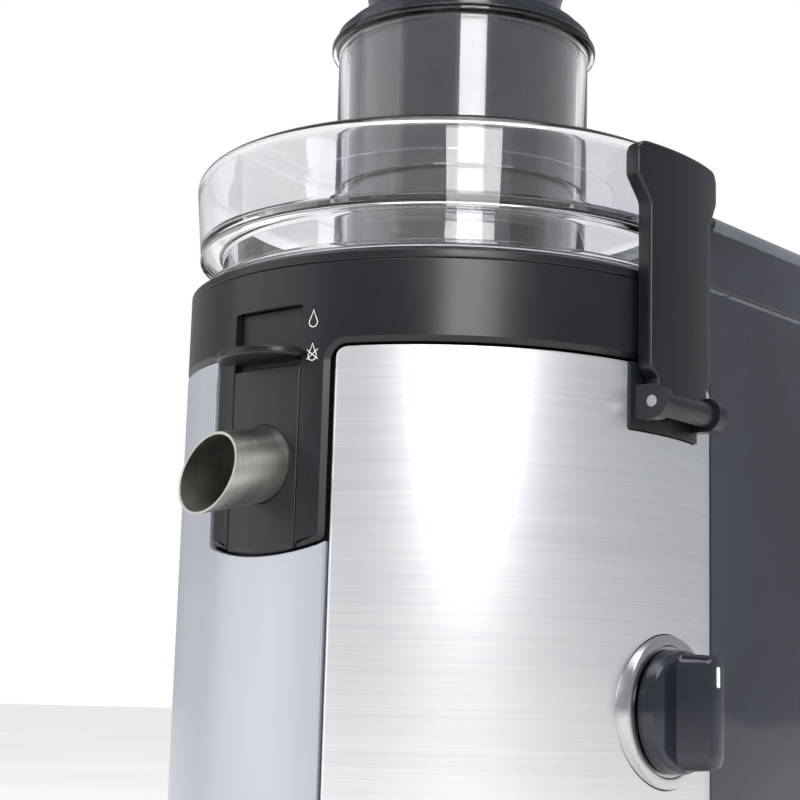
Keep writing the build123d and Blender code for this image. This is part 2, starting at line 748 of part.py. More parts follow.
# Pusher: a hollow cup that slides in the chute, closed by its grip
with BuildPart() as pusher_shell:
    pusher_r = bore_r - pusher_gap
    with Locations(chute_place):
        with Locations((0, 0, pusher_bottom)):
            Cylinder(pusher_r, chute_top - pusher_bottom, align=(Align.CENTER, Align.CENTER, Align.MIN))
    fillet(pusher_shell.edges().group_by(Axis.Z)[0], 3)
    with Locations(chute_place):
        with Locations((0, 0, chute_top)):
            Cylinder(chute_r + 1, pusher_lip, align=(Align.CENTER, Align.CENTER, Align.MIN))
        with Locations((0, 0, pusher_bottom + pusher_wall)):
            Cylinder(pusher_r - pusher_wall, chute_top + pusher_lip - pusher_bottom,
                     align=(Align.CENTER, Align.CENTER, Align.MIN), mode=Mode.SUBTRACT)
finish(pusher_shell, "pusher_shell")

with BuildPart() as pusher_grip:
    grip_z = chute_top + pusher_lip
    with BuildSketch(Plane.XZ):
        with BuildLine():
            Polyline((0, grip_z), (grip_dia / 2 + 6, grip_z), (grip_dia / 2 + 6, grip_z + 3))
            Spline((grip_dia / 2 + 6, grip_z + 3), (grip_dia / 2 - 4, grip_z + grip_height / 2),
                   (grip_dia / 2, grip_z + grip_height - 4), tangents=((-1, 0.4), (0.3, 1)))
            Spline((grip_dia / 2, grip_z + grip_height - 4), (grip_dia / 4, grip_z + grip_height - 0.6),
                   (0, grip_z + grip_height), tangents=((-0.3, 1), (-1, 0)))
            Line((0, grip_z + grip_height), (0, grip_z))
        make_face()
    revolve(axis=Axis.Z)
pusher_grip.part.location = chute_place
finish(pusher_grip, "pusher_grip")

# Basket: hub plate, grater disc with teeth, sieve cone and rim
socket_r = 11.0
with BuildPart() as basket_hub:
    with BuildSketch(Plane.XY.offset(hub_z)):
        Circle(sieve_foot_r + 2)
    extrude(amount=hub_plate)
    boss_bottom = bowl_floor + basket_gap
    with BuildSketch(Plane.XY.offset(boss_bottom)):
        Circle(socket_r + 5)
    extrude(amount=hub_z - boss_bottom)
    with BuildSketch(Plane.XY.offset(boss_bottom)):
        RegularPolygon(socket_r, 6)
    extrude(amount=hub_z - boss_bottom, mode=Mode.SUBTRACT)
finish(basket_hub, "basket_hub")

with BuildPart() as grater_disc:
    with BuildSketch(Plane.XY.offset(disc_z)):
        Circle(grater_r)
    extrude(amount=grater_thick)
finish(grater_disc, "grater_disc")

with BuildPart() as grater_teeth:
    tooth_rows = 5
    for row in range(tooth_rows):
        row_r = grater_r * (row + 1) / (tooth_rows + 0.6)
        with BuildSketch(Plane.XY.offset(disc_z + grater_thick)):
            with PolarLocations(row_r, 6 * (row + 1), row * 7):
                Rectangle(0.8, 3.2)
        extrude(amount=tooth_height, taper=14)
finish(grater_teeth, "grater_teeth")

with BuildPart() as sieve_cone:
    flare = (sieve_rim_r - sieve_foot_r) / sieve_height
    rim_z = sieve_top - basket_rim_height
    rim_inner = sieve_foot_r + flare * (rim_z - disc_z)
    add(turned([(sieve_foot_r, disc_z), (sieve_foot_r + sieve_wall, disc_z),
                (rim_inner + sieve_wall, rim_z), (rim_inner, rim_z)]))
finish(sieve_cone, "sieve_cone")

with BuildPart() as basket_rim:
    add(turned([(rim_inner - 1, rim_z), (rim_inner + basket_rim_width, rim_z),
                (sieve_rim_r + basket_rim_width / 2, sieve_top), (sieve_rim_r - 1, sieve_top)]))
finish(basket_rim, "basket_rim")

# Drive line
def column(name, radius, low, high, bore=0.0):
    """A round piece on the shaft's axis, written as its own node."""
    with BuildPart() as piece:
        with BuildSketch(Plane.XY.offset(low)):
            Circle(radius)
            if bore:
                Circle(bore, mode=Mode.SUBTRACT)
        extrude(amount=high - low)
    finish(piece, name)


shaft_r = shaft_dia / 2
shaft_fit = shaft_r + running_fit
stator_top = stator_base + stator_height
bracket_low = cover_top + post_height + 6.0
bracket_high = stator_top + 16.0
coupling_z = boss_bottom + 0.5
column("motor_shaft", shaft_r, bracket_low - fan_height - 10, hub_z - 2)
column("armature", armature_r, stator_base, stator_top, shaft_r)
column("commutator", armature_r / 2, bracket_low + bracket_thick + 2, stator_base - 10, shaft_r)
column("shaft_seal", shaft_r + 8, deck_top - deck_thick, deck_top, shaft_fit)

with BuildPart() as drive_coupling:
    with BuildSketch(Plane.XY.offset(coupling_z)):
        RegularPolygon(socket_r - slide_fit, 6)
        Circle(shaft_r, mode=Mode.SUBTRACT)
    extrude(amount=hub_z - slide_fit - coupling_z)
finish(drive_coupling, "drive_coupling")

with BuildPart() as armature_windings:
    for low, high in ((stator_base - 8, stator_base), (stator_top, stator_top + 8)):
        with BuildSketch(Plane.XY.offset(low)):
            Circle(armature_r - 3)
            Circle(shaft_r + 2, mode=Mode.SUBTRACT)
        extrude(amount=high - low)
finish(armature_windings, "armature_windings")

with BuildPart() as cooling_fan:
    fan_z = bracket_low - fan_height - 4
    with BuildSketch(Plane.XY.offset(fan_z)):
        Circle(fan_r)
        Circle(shaft_r, mode=Mode.SUBTRACT)
    extrude(amount=1.6)
    with BuildSketch(Plane.XY.offset(fan_z)):
        Circle(shaft_r + 4)
        Circle(shaft_r, mode=Mode.SUBTRACT)
        with PolarLocations(fan_r * 0.68, fan_blades):
            Rectangle(fan_r * 0.6, 1.4, rotation=24)
    extrude(amount=fan_height)
finish(cooling_fan, "cooling_fan")

# Motor: stator, coils, brackets, bearings, brushes, screws and rubber bushes
bolt_places = PolarLocations(stator_r + 4, 4, 45)
with BuildPart() as stator:
    with BuildSketch(Plane.XY.offset(stator_base)):
        Circle(stator_r)
        Circle(armature_r + air_gap, mode=Mode.SUBTRACT)
    extrude(amount=stator_height)
finish(stator, "stator")

with BuildPart() as field_coils:
    for low in (stator_base - 10, stator_top):
        with BuildSketch(Plane.XY.offset(low)):
            add(sector(armature_r + 3, stator_r - 4, 0, 62))
            add(sector(armature_r + 3, stator_r - 4, 180, 62))
        extrude(amount=10)
finish(field_coils, "field_coils")


def motor_bracket(low, arms, seat_low):
    """An end bracket with a bearing seat and, on the lower one, arms out to the bushes."""
    with BuildPart() as bracket:
        with BuildSketch(Plane.XY.offset(low)):
            Circle(bracket_r)
        extrude(amount=bracket_thick)
        if arms:
            with BuildSketch(Plane.XY.offset(low)):
                with PolarLocations(bracket_r - 4, 4, 45):
                    Rectangle(post_ring_r - bracket_r + 8, 10, align=(Align.MIN, Align.CENTER))
                with post_places:
                    Circle(screw_r + 1, mode=Mode.SUBTRACT)
            extrude(amount=bracket_thick / 2)
        with BuildSketch(Plane.XY.offset(low)):
            Circle(shaft_r + 1)
            with bolt_places:
                Circle(screw_r)
        extrude(amount=bracket_thick, mode=Mode.SUBTRACT)
        with BuildSketch(Plane.XY.offset(seat_low)):
            Circle(bearing_dia / 2)
        extrude(amount=bearing_width, mode=Mode.SUBTRACT)
        with BuildSketch(Plane.XY.offset(low)):
            with PolarLocations((bracket_r + bearing_dia / 2) / 2, 4):
                Circle(6)
        extrude(amount=bracket_thick, mode=Mode.SUBTRACT)
    return bracket


lower_seat = bracket_low + bracket_thick - bearing_width
lower_bracket = motor_bracket(bracket_low, True, lower_seat)
finish(lower_bracket, "lower_bracket")
upper_bracket = motor_bracket(bracket_high, False, bracket_high)
finish(upper_bracket, "upper_bracket")
column("lower_bearing", bearing_dia / 2, lower_seat, lower_seat + bearing_width, shaft_fit)
column("upper_bearing", bearing_dia / 2, bracket_high, bracket_high + bearing_width, shaft_fit)

with BuildPart() as damper_bushes:
    with BuildSketch(Plane.XY.offset(cover_top + post_height)):
        with post_places:
            Circle(post_r - 1)
            Circle(screw_r, mode=Mode.SUBTRACT)
    extrude(amount=bracket_low - cover_top - post_height)
finish(damper_bushes, "damper_bushes")

with BuildPart() as motor_screws:
    with BuildSketch(Plane.XY.offset(bracket_low)):
        with bolt_places:
            Circle(screw_r)
    extrude(amount=bracket_high + bracket_thick - bracket_low)
    with BuildSketch(Plane.XY.offset(bracket_high + bracket_thick)):
        with bolt_places:
            Circle(screw_head_r)
    extrude(amount=2 * screw_head)
finish(motor_screws, "motor_screws")

with BuildPart() as brush_holders:
    with BuildSketch(Plane.XY.offset(bracket_low + bracket_thick)):
        for side in (-1, 1):
            with Locations((0, side * (armature_r / 2 + 12 + slide_fit))):
                Rectangle(9, 24)
    extrude(amount=13)
finish(brush_holders, "brush_holders")

# Controls and the cable's inlet
with BuildPart() as control_board:
    board_y = chassis_r - chassis_wall - 16
    with BuildSketch(Plane(origin=(0, board_y, dial_height + 20), z_dir=(0, 1, 0))):
        Rectangle(*board_size)
    extrude(amount=1.6)
    with BuildSketch(Plane(origin=(0, board_y, dial_height + 20), z_dir=(0, -1, 0))):
        with GridLocations(22, 20, 2, 2):
            Rectangle(12, 10)
    extrude(amount=8)
finish(control_board, "control_board")

dial_front = body_r + dial_bezel_proud
dial_plane = Plane(origin=(0, 0, dial_height), x_dir=(1, 0, 0), z_dir=(0, -1, 0))
with BuildPart() as rotary_switch:
    with BuildSketch(dial_plane.offset(chassis_r - chassis_wall - 24)):
        Rectangle(26, 26)
    extrude(amount=20)
finish(rotary_switch, "rotary_switch")

with BuildPart() as dial_bezel:
    with BuildSketch(dial_plane.offset(chassis_r + slide_fit)):
        Circle(dial_bezel_dia / 2)
        Circle(4, mode=Mode.SUBTRACT)
    extrude(amount=dial_front - chassis_r - slide_fit)
    fillet(dial_bezel.edges().filter_by(GeomType.CIRCLE).group_by(Axis.Y)[0].sort_by(SortBy.LENGTH)[-1], 1)
finish(dial_bezel, "dial_bezel")

with BuildPart() as dial_knob:
    with BuildSketch(dial_plane.offset(dial_front + slide_fit)):
        Circle(dial_dia / 2)
    extrude(amount=dial_depth / 3, taper=2)
    with BuildSketch(dial_plane.offset(dial_front + slide_fit)):
        SlotOverall(0.94 * dial_dia, 12, rotation=90)
    extrude(amount=dial_depth)
    fillet(dial_knob.edges().group_by(Axis.Y)[0], 2)
    with BuildSketch(dial_plane.offset(chassis_r - chassis_wall - 3)):
        Circle(3)
    extrude(amount=dial_front - chassis_r + chassis_wall + 4)
finish(dial_knob, "dial_knob")

with BuildPart() as dial_pointer:
    with BuildSketch(dial_plane.offset(dial_front + slide_fit + dial_depth)):
        with Locations((0, 0.28 * dial_dia)):
            SlotOverall(7, 1.6, rotation=90)
    extrude(amount=0.4)
finish(dial_pointer, "dial_pointer")

inlet_plane = Plane(origin=(0, 0, inlet_height), x_dir=(1, 0, 0), z_dir=(0, 1, 0))
with BuildPart() as cable_inlet:
    with BuildSketch(inlet_plane.offset(chassis_r + slide_fit)):
        Circle(inlet_dia / 2)
        Circle(cord_bore / 2, mode=Mode.SUBTRACT)
    extrude(amount=body_r - chassis_r - slide_fit)
    with BuildSketch(inlet_plane.offset(body_r)):
        Circle(inlet_dia / 2 + 2)
        Circle(cord_bore / 2, mode=Mode.SUBTRACT)
    extrude(amount=3)
finish(cable_inlet, "cable_inlet")
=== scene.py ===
import json
import bpy
import bmesh
from math import sin, cos, pi, radians, hypot, sqrt, ceil
from mathutils import Vector, Matrix
from mathutils.geometry import tessellate_polygon


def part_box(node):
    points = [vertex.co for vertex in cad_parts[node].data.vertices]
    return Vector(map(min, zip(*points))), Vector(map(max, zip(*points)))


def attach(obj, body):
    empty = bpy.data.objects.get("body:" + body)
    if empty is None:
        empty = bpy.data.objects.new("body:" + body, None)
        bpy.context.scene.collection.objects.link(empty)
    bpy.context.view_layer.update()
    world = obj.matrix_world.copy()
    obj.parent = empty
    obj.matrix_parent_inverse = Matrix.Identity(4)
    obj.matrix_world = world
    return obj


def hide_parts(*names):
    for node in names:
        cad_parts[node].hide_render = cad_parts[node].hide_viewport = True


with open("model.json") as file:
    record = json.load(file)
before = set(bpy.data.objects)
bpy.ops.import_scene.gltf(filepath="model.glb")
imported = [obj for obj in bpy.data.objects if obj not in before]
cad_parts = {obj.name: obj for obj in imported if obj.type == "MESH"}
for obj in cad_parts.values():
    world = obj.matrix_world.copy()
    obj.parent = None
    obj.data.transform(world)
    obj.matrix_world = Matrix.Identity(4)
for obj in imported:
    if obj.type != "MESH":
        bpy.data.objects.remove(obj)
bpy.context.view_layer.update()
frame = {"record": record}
scene = bpy.context.scene
mm = 0.001


def nodeBox(name):
    low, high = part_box(name)
    return low / mm, high / mm


# Places read from the frame, in millimetres
bodyR = nodeBox("base_ring")[1].x
seamZ = nodeBox("juice_collector")[1].z
deckToBand = 3.6  # from the chassis's top up to the band's lower edge
bandLow = nodeBox("chassis")[1].z + deckToBand
trimLow, trimTop = nodeBox("base_ring")[0].z, nodeBox("base_ring")[1].z
collarLow, collarTop = nodeBox("collar_ring")[0].z, nodeBox("collar_ring")[1].z
lidLow = nodeBox("lid_rim")[0].z
tongueLow = nodeBox("juice_collector")[0].z
print("frame read: body radius", round(bodyR, 1), "seam height", round(seamZ, 1))


# The camera stands to the left of the front, a little above the middle, and looks slightly up
cameraRig = {
    "distance": 678.0, "height": seamZ - 148.7, "azimuth": -50.6,
    "turn": -1.55, "rise": 9.80, "roll": 1.635, "lens": 79.785,
}


def addCamera(rig):
    a = radians(rig["azimuth"])
    right, ahead, up = Vector((cos(a), sin(a), 0)), Vector((-sin(a), cos(a), 0)), Vector((0, 0, 1))
    place = -ahead * rig["distance"] + up * rig["height"]
    turn, rise, roll = radians(rig["turn"]), radians(rig["rise"]), radians(rig["roll"])
    flat = ahead * cos(turn) + right * sin(turn)
    side = right * cos(turn) - ahead * sin(turn)
    look = flat * cos(rise) + up * sin(rise)
    top = up * cos(rise) - flat * sin(rise)
    across = side * cos(roll) + top * sin(roll)
    head = top * cos(roll) - side * sin(roll)
    data = bpy.data.cameras.new("camera")
    data.sensor_width = 36
    data.lens = rig["lens"]
    data.clip_start, data.clip_end = 0.05, 50
    camera = bpy.data.objects.new("camera", data)
    scene.collection.objects.link(camera)
    matrix = Matrix((across, head, -look)).transposed().to_4x4()
    matrix.translation = place * mm
    camera.matrix_world = matrix
    scene.camera = camera


addCamera(cameraRig)


def linear(code):
    parts = [int(code[i:i + 2], 16) / 255 for i in (1, 3, 5)]
    return [p / 12.92 if p <= 0.04045 else ((p + 0.055) / 1.055) ** 2.4 for p in parts] + [1.0]


# Adds one node, with its settings, its links and its properties
def addNode(tree, kind, settings=None, links=None, **properties):
    node = tree.nodes.new(kind)
    for key, value in properties.items():
        setattr(node, key, value)
    for key, value in (settings or {}).items():
        node.inputs[key].default_value = value
    for key, source in (links or {}).items():
        tree.links.new(source, node.inputs[key])
    return node


# Pattern scales for sizes in millimetres along x, y and z
def repeats(sizes):
    return [1 / (size * mm) for size in sizes]


# A surface with a fine grain (bump, and some of the tone) over a broad drift (tone and gloss). Grain,
# drift and the bump's depth are in millimetres
def surface(name, dark, light, rough, grain=(0.25, 0.25, 0.25), drift=(45.5, 45.5, 45.5), depth=0.02,
            spread=0.05, fineShare=0.4, strength=0.25, **shaderSettings):
    material = bpy.data.materials.new(name)
    material.use_nodes = True
    tree = material.node_tree
    shader = tree.nodes["Principled BSDF"]
    for key, value in shaderSettings.items():
        shader.inputs[key.replace("_", " ")].default_value = value
    where = addNode(tree, "ShaderNodeTexCoord").outputs["Object"]
    fineAt = addNode(tree, "ShaderNodeMapping", {"Scale": repeats(grain)}, {"Vector": where})
    fine = addNode(tree, "ShaderNodeTexNoise", {"Scale": 1.0, "Detail": 2.0, "Roughness": 0.6},
                   {"Vector": fineAt.outputs["Vector"]})
    broadAt = addNode(tree, "ShaderNodeMapping", {"Scale": repeats(drift)}, {"Vector": where})
    broad = addNode(tree, "ShaderNodeTexNoise", {"Scale": 1.0, "Detail": 3.0},
                    {"Vector": broadAt.outputs["Vector"]})
    both = addNode(tree, "ShaderNodeMix", {"Factor": fineShare},
                   {2: broad.outputs["Fac"], 3: fine.outputs["Fac"]}, data_type="FLOAT")
    tone = addNode(tree, "ShaderNodeMapRange", {"From Min": 0.35, "From Max": 0.65},
                   {"Value": both.outputs[0]})
    colour = addNode(tree, "ShaderNodeMix", {6: linear(dark), 7: linear(light)},
                     {0: tone.outputs["Result"]}, data_type="RGBA")
    gloss = addNode(tree, "ShaderNodeMapRange", {"From Min": 0.3, "From Max": 0.7, "To Min": rough - spread,
                    "To Max": rough + spread}, {"Value": broad.outputs["Fac"]})
    relief = addNode(tree, "ShaderNodeBump", {"Strength": strength, "Distance": depth * mm},
                     {"Height": fine.outputs["Fac"]})
    tree.links.new(colour.outputs[2], shader.inputs["Base Color"])
    tree.links.new(gloss.outputs["Result"], shader.inputs["Roughness"])
    tree.links.new(relief.outputs["Normal"], shader.inputs["Normal"])
    return material


# Injection-moulded ABS, spark-eroded texture about 0.25 mm across: a soft black sheen
blackAbs = surface("absBlackMouldedSatin", "#0f1216", "#14181d", 0.31, IOR=1.46)
# The same ABS with a coarser texture: it keeps recesses and undersides quiet
inkAbs = surface("absBlackMouldedMatt", "#141518", "#1a1c1f", 0.46, (0.4, 0.4, 0.4), IOR=1.46)
# Polished dark ABS: the grip and the cup give clear, bright reflections
gripAbs = surface("absDarkPolished", "#191c25", "#22262f", 0.16, depth=0.004, spread=0.03, IOR=1.54)
# Moulded nylon: an off-white matt with faint flow
whiteNylon = surface("nylonWhiteMoulded", "#d6d6d0", "#e6e6e1", 0.42, IOR=1.53)
# Pad-printed icon ink: flat white, slightly uneven
iconInk = surface("inkWhitePadPrinted", "#e4e5e6", "#f6f6f6", 0.5, (0.33, 0.33, 0.33))
# Stainless sheet brushed round the body: level hair lines about 0.15 mm apart stretch every
# reflection up and down; drawn a little coarser so that they show
brushedFront = surface("stainlessSheetBrushed", "#e6e7e9", "#f1f2f3", 0.35, (143, 143, 0.385),
                       (83, 83, 1.11), depth=0.006, spread=0.012, fineShare=0.7, strength=0.08,
                       Metallic=1.0, Anisotropic=0.55)
# Drawn stainless tube, brushed as it turned: fine rings and a warm grey glow
spoutSteel = surface("stainlessTubeBrushed", "#b6b3ab", "#cfccc4", 0.34, (0.67, 16.7, 16.7),
                     (16.7, 16.7, 16.7), depth=0.008, fineShare=0.6, strength=0.15,
                     Metallic=1.0, Anisotropic=0.4)
# Silver lacquer over moulded ABS, flake about 0.1 mm: a cool satin grey
# Its broad drift is stretched to 200 mm tall, so the lighter and darker vertical streaks in the tone are
# painted reflections
lacquer = surface("absSilverLacquered", "#a7aab3", "#b9bcc5", 0.34, (0.11, 0.11, 0.11), (33, 33, 200),
                  depth=0.01, spread=0.04, fineShare=0.5, strength=0.08,
                  Metallic=0.35, Coat_Weight=0.3, Coat_Roughness=0.12)
# Clear polycarbonate from a polished mould: nearly colourless, with soft flow marks
clearPc = surface("polycarbonateClearMoulded", "#f6f7fb", "#ffffff", 0.02, (28.6, 28.6, 71.4),
                  (50, 50, 125), spread=0.01, fineShare=0.5, strength=0.08,
                  Transmission_Weight=1.0, IOR=1.45)
# The same resin with a smoke tint: dark at the edges, see-through across a wall
smokePc = surface("polycarbonateSmokeMoulded", "#666a73", "#787c85", 0.08, (28.6, 28.6, 71.4),
                  (50, 50, 125), spread=0.02, fineShare=0.5, strength=0.08,
                  Transmission_Weight=1.0, IOR=1.45)
# Zinc-plated steel: a bluish, slightly mottled grey
zincSteel = surface("steelZincPlated", "#97999e", "#b6b8bc", 0.3, (1.1, 1.1, 1.1), Metallic=1.0)
# Ground bearing steel: bright, with fine marks
groundSteel = surface("steelGround", "#a2a3a6", "#c0c1c3", 0.2, (0.56, 0.56, 3.3), Metallic=1.0)
# Turned aluminium: fine rings that spread a glint
turnedAluminium = surface("aluminiumTurned", "#b7b8ba", "#d2d3d4", 0.26, (0.7, 5, 0.7), Metallic=1.0)
# Stack of silicon steel sheets 0.5 mm thick: thin level dark lines
laminations = surface("siliconSteelStacked", "#3d3e42", "#6d6e72", 0.5, (50, 50, 0.5), depth=0.05,
                      fineShare=0.7, Metallic=1.0)
# Enamelled copper wire wound in bundles: a brown red with a varnish shine
copperWire = surface("copperWireEnamelled", "#7c4220", "#b06a38", 0.3, (3.3, 3.3, 0.7), depth=0.15,
                     Metallic=1.0)
# Pressed brass strip: warm yellow with rub marks
brassStrip = surface("brassPressed", "#a4834a", "#c9a968", 0.32, (1.4, 1.4, 1.4), Metallic=1.0)
# Moulded rubber: dead matt with a dusty bloom
blackRubber = surface("rubberBlackMoulded", "#121212", "#1d1d1d", 0.78, (3.8, 3.8, 3.8), depth=0.03,
                      spread=0.08)
# Milky silicone: a soft pale sheen
siliconeClear = surface("siliconeMilkyMoulded", "#b5b8c0", "#cdcfd6", 0.45, (3.8, 3.8, 3.8))
# Glass-fibre board with solder resist: a woven green
boardGreen = surface("glassFibreSolderMasked", "#123a1f", "#1b5230", 0.35, (1.1, 1.1, 1.1), fineShare=0.7)


# Acid-etched stainless sieve: holes 0.9 mm across on a 1.6 mm grid, drawn as near-black dots of painted shade
# where the holes would open into the dark; from a step away the cone reads as a grey mesh
def etchedSieve(pitch=1.6, hole=0.28):
    material = surface("stainlessSieveEtched", "#b4b5b8", "#d0d1d3", 0.24, (1.4, 1.4, 1.4), Metallic=1.0)
    tree = material.node_tree
    shader = tree.nodes["Principled BSDF"]
    where = addNode(tree, "ShaderNodeTexCoord")
    grid = addNode(tree, "ShaderNodeMapping", {"Scale": repeats((pitch, pitch, pitch))},
                   {"Vector": where.outputs["Object"]})
    cells = addNode(tree, "ShaderNodeTexVoronoi", {"Scale": 1.0, "Randomness": 0.0},
                    {"Vector": grid.outputs["Vector"]})
    inside = addNode(tree, "ShaderNodeMapRange", {"From Min": hole, "From Max": hole + 0.12},
                     {"Value": cells.outputs["Distance"]})
    sheet = shader.inputs["Base Color"].links[0].from_socket
    # Painted shade: each hole is a near-black dot on the sheet, not an opening
    colour = addNode(tree, "ShaderNodeMix", {6: linear("#101012")}, {0: inside.outputs["Result"], 7: sheet},
                     data_type="RGBA")
    tree.links.new(colour.outputs[2], shader.inputs["Base Color"])
    return material


sieveSteel = etchedSieve()
print("materials made")


slotOf = {part["node"]: part["material_slot"] for part in frame["record"]["subparts"]}


# Corners as (x, y, radius, edge): a radius makes an arc, and edge is that corner's own edge size
def rounded(corners, edge=0.4, steps=6):
    points = []
    count = len(corners)
    for i, corner in enumerate(corners):
        x, y, radius, own = (*corner, 0, edge) if len(corner) == 2 else (*corner, edge)[:4]
        if not radius:
            points.append((x, y, own))
            continue
        here = Vector((x, y))
        back = (Vector(corners[i - 1][:2]) - here).normalized()
        on = (Vector(corners[(i + 1) % count][:2]) - here).normalized()
        half = back.angle(on) / 2
        first = here + back * radius * cos(half) / sin(half)
        last = here + on * radius * cos(half) / sin(half)
        middle = here + (back + on).normalized() * radius / sin(half)
        for k in range(steps + 1):
            spoke = (first - middle).normalized().slerp((last - middle).normalized(), k / steps) * radius
            points.append((middle.x + spoke.x, middle.y + spoke.y, own))
    return points


def circle(radius, x=0.0, y=0.0, edge=0.4, count=64, stretch=1.0):
    return [(x + radius * cos(2 * pi * k / count), y + stretch * radius * sin(2 * pi * k / count), edge)
            for k in range(count)]


# Unit steps into the material at each point; the first outline runs round it, the others are holes
def inward(points, hole):
    turn = sum(a[0] * b[1] - b[0] * a[1] for a, b in zip(points, points[1:] + points[:1]))
    points = points if (turn > 0) != hole else points[::-1]
    steps = []
    for i, point in enumerate(points):
        back = (Vector(point[:2]) - Vector(points[i - 1][:2])).normalized()
        on = (Vector(points[(i + 1) % len(points)][:2]) - Vector(point[:2])).normalized()
        side = Vector((-back.y - on.y, back.x + on.x)).normalized()
        steps.append(side / max(side.dot(Vector((-on.y, on.x))), 0.4))
    return points, steps


# Outlines stacked as rings: each level is (inset, height), and the first and last are closed over.
# With scaled set, insets and heights of the first levels are shares of each corner's own edge
def stack(name, outlines, levels, scaled=0):
    work = bmesh.new()
    rings = []
    for number, outline in enumerate(outlines):
        points, steps = inward([p if len(p) == 3 else (*p, 0.4) for p in outline], number > 0)
        loops = []
        for k, (inset, height) in enumerate(levels):
            shares = [p[2] if k < scaled else 1.0 for p in points]
            loops.append([work.verts.new((p[0] + s.x * inset * f, p[1] + s.y * inset * f, height * f))
                          for p, s, f in zip(points, steps, shares)])
        rings.append(loops)
        for low, high in zip(loops, loops[1:]):
            for i in range(len(points)):
                j = (i + 1) % len(points)
                work.faces.new((low[i], low[j], high[j], high[i]))
    for end in (0, -1):
        verts = [v for loops in rings for v in loops[end]]
        for corners in tessellate_polygon([[v.co.copy() for v in loops[end]] for loops in rings]):
            work.faces.new([verts[i] for i in corners])
    return freeze(work, name)


def freeze(work, name, merge=1e-5):
    bmesh.ops.remove_doubles(work, verts=work.verts, dist=merge)
    bmesh.ops.recalc_face_normals(work, faces=work.faces)
    mesh = bpy.data.meshes.new(name)
    work.to_mesh(mesh)
    work.free()
    return mesh


# A flat plate with rounded front edges, or chamfered when steps is 1; its face is at z = 0. Fall is
# the edge's depth as a share of its width
def plate(name, outlines, thick, steps=4, fall=1.0):
    turns = [pi / 2 * k / steps for k in range(steps + 1)]
    rim = [(1 - sin(a), fall * (cos(a) - 1)) for a in turns]
    return stack(name, outlines, rim + [(0, -thick)], scaled=len(rim))


# Bends a flat plate round the body's axis: x runs along the wall, y is the height
def wrap(mesh, radius, middle, stripe=2.0, closed=False, fold=None):
    work = bmesh.new()
    work.from_mesh(mesh)
    xs = [v.co.x for v in work.verts]
    step = radians(stripe) * radius
    cuts = [k * step for k in range(ceil(min(xs) / step), int(max(xs) / step) + 1)]
    if fold:
        cuts += [side * (fold[0] + fold[1] * pi / 2 * k / 4) for side in (-1, 1) for k in range(5)]
    for cut in cuts:
        bmesh.ops.bisect_plane(work, geom=work.verts[:] + work.edges[:] + work.faces[:],
                               plane_co=(cut, 0, 0), plane_no=(1, 0, 0), dist=1e-6)
    if closed:
        end = pi * radius - 1e-4
        bmesh.ops.delete(work, context="FACES_ONLY",
                         geom=[f for f in work.faces if all(abs(v.co.x) > end for v in f.verts)])
    for v in work.verts:
        v.co = bend(v.co, radius, radians(middle), fold)
    return freeze(work, mesh.name, 1e-7)


def bend(point, radius, middle, fold):
    x, out, over = point.x, point.z, 0.0
    if fold and abs(x) > fold[0]:
        limit, bendR = fold
        extra = abs(x) - limit
        turn = min(extra / bendR, pi / 2)
        straight = max(extra - bendR * pi / 2, 0.0)
        over = bendR * sin(turn) + out * sin(turn)
        out = bendR * (cos(turn) - 1) + out * cos(turn) - straight
        over, x = (over, limit) if x > 0 else (-over, -limit)
    angle = middle + x / radius
    return Vector(((radius + out) * cos(angle) - over * sin(angle),
                   (radius + out) * sin(angle) + over * cos(angle), point.y)) * mm


# A closed (radius, height) outline turned round an upright axis
def spin(name, outline, centre=(0, 0), steps=180):
    work = bmesh.new()
    rings = [[work.verts.new(Vector((centre[0] + r * cos(2 * pi * k / steps),
                                     centre[1] + r * sin(2 * pi * k / steps), z)) * mm)
              for r, z, *edge in outline] for k in range(steps)]
    for k, near in enumerate(rings):
        far = rings[(k + 1) % steps]
        for i in range(len(outline)):
            j = (i + 1) % len(outline)
            if outline[i][0] or outline[j][0]:
                offAxis = [far[n] for n in (i, j) if outline[n][0]]
                work.faces.new([near[i], *offAxis, near[j]])
    return freeze(work, name, 1e-7)


toMetres = Matrix.Scale(mm, 4)


def moved(mesh, matrix):
    mesh.transform(matrix)
    return mesh


# Turns a plate's own axes (x, y, z) to three directions in the scene, from millimetres
def placed(mesh, x, y, z, at):
    turn = Matrix((x, y, z)).transposed().to_4x4()
    turn.translation = Vector(at)
    return moved(mesh, toMetres @ turn)


def together(name, *meshes):
    work = bmesh.new()
    for mesh in meshes:
        work.from_mesh(mesh)
    return freeze(work, name, 1e-9)


# One mesh with others cut out of it
def cutAway(mesh, *cutters):
    body = bpy.data.objects.new(mesh.name, mesh)
    scene.collection.objects.link(body)
    helpers = []
    for cutter in cutters:
        helper = bpy.data.objects.new("cutter", cutter)
        scene.collection.objects.link(helper)
        helpers.append(helper)
        cut = body.modifiers.new("cut", "BOOLEAN")
        cut.operation, cut.solver, cut.object = "DIFFERENCE", "EXACT", helper
    result = bpy.data.meshes.new_from_object(body.evaluated_get(bpy.context.evaluated_depsgraph_get()))
    for helper in helpers + [body]:
        bpy.data.objects.remove(helper)
    return result


# Shades a mesh smooth except at sharp edges, and gives faces on the body's wall a true round normal
def shade(mesh, sharp, wall=None):
    work = bmesh.new()
    work.from_mesh(mesh)
    for face in work.faces:
        face.smooth = True
    for edge in work.edges:
        edge.smooth = len(edge.link_faces) == 2 and edge.calc_face_angle(0) < radians(sharp)
    work.to_mesh(mesh)
    work.free()
    if wall:
        normals = [Vector((0, 0, 0))] * len(mesh.loops)
        for face in mesh.polygons:
            spots = [mesh.vertices[i].co for i in face.vertices]
            if all(abs(hypot(s.x, s.y) - wall * mm) < 2e-6 for s in spots):
                for loop, s in zip(face.loop_indices, spots):
                    normals[loop] = Vector((s.x, s.y, 0)).normalized()
        mesh.normals_split_custom_set(normals)


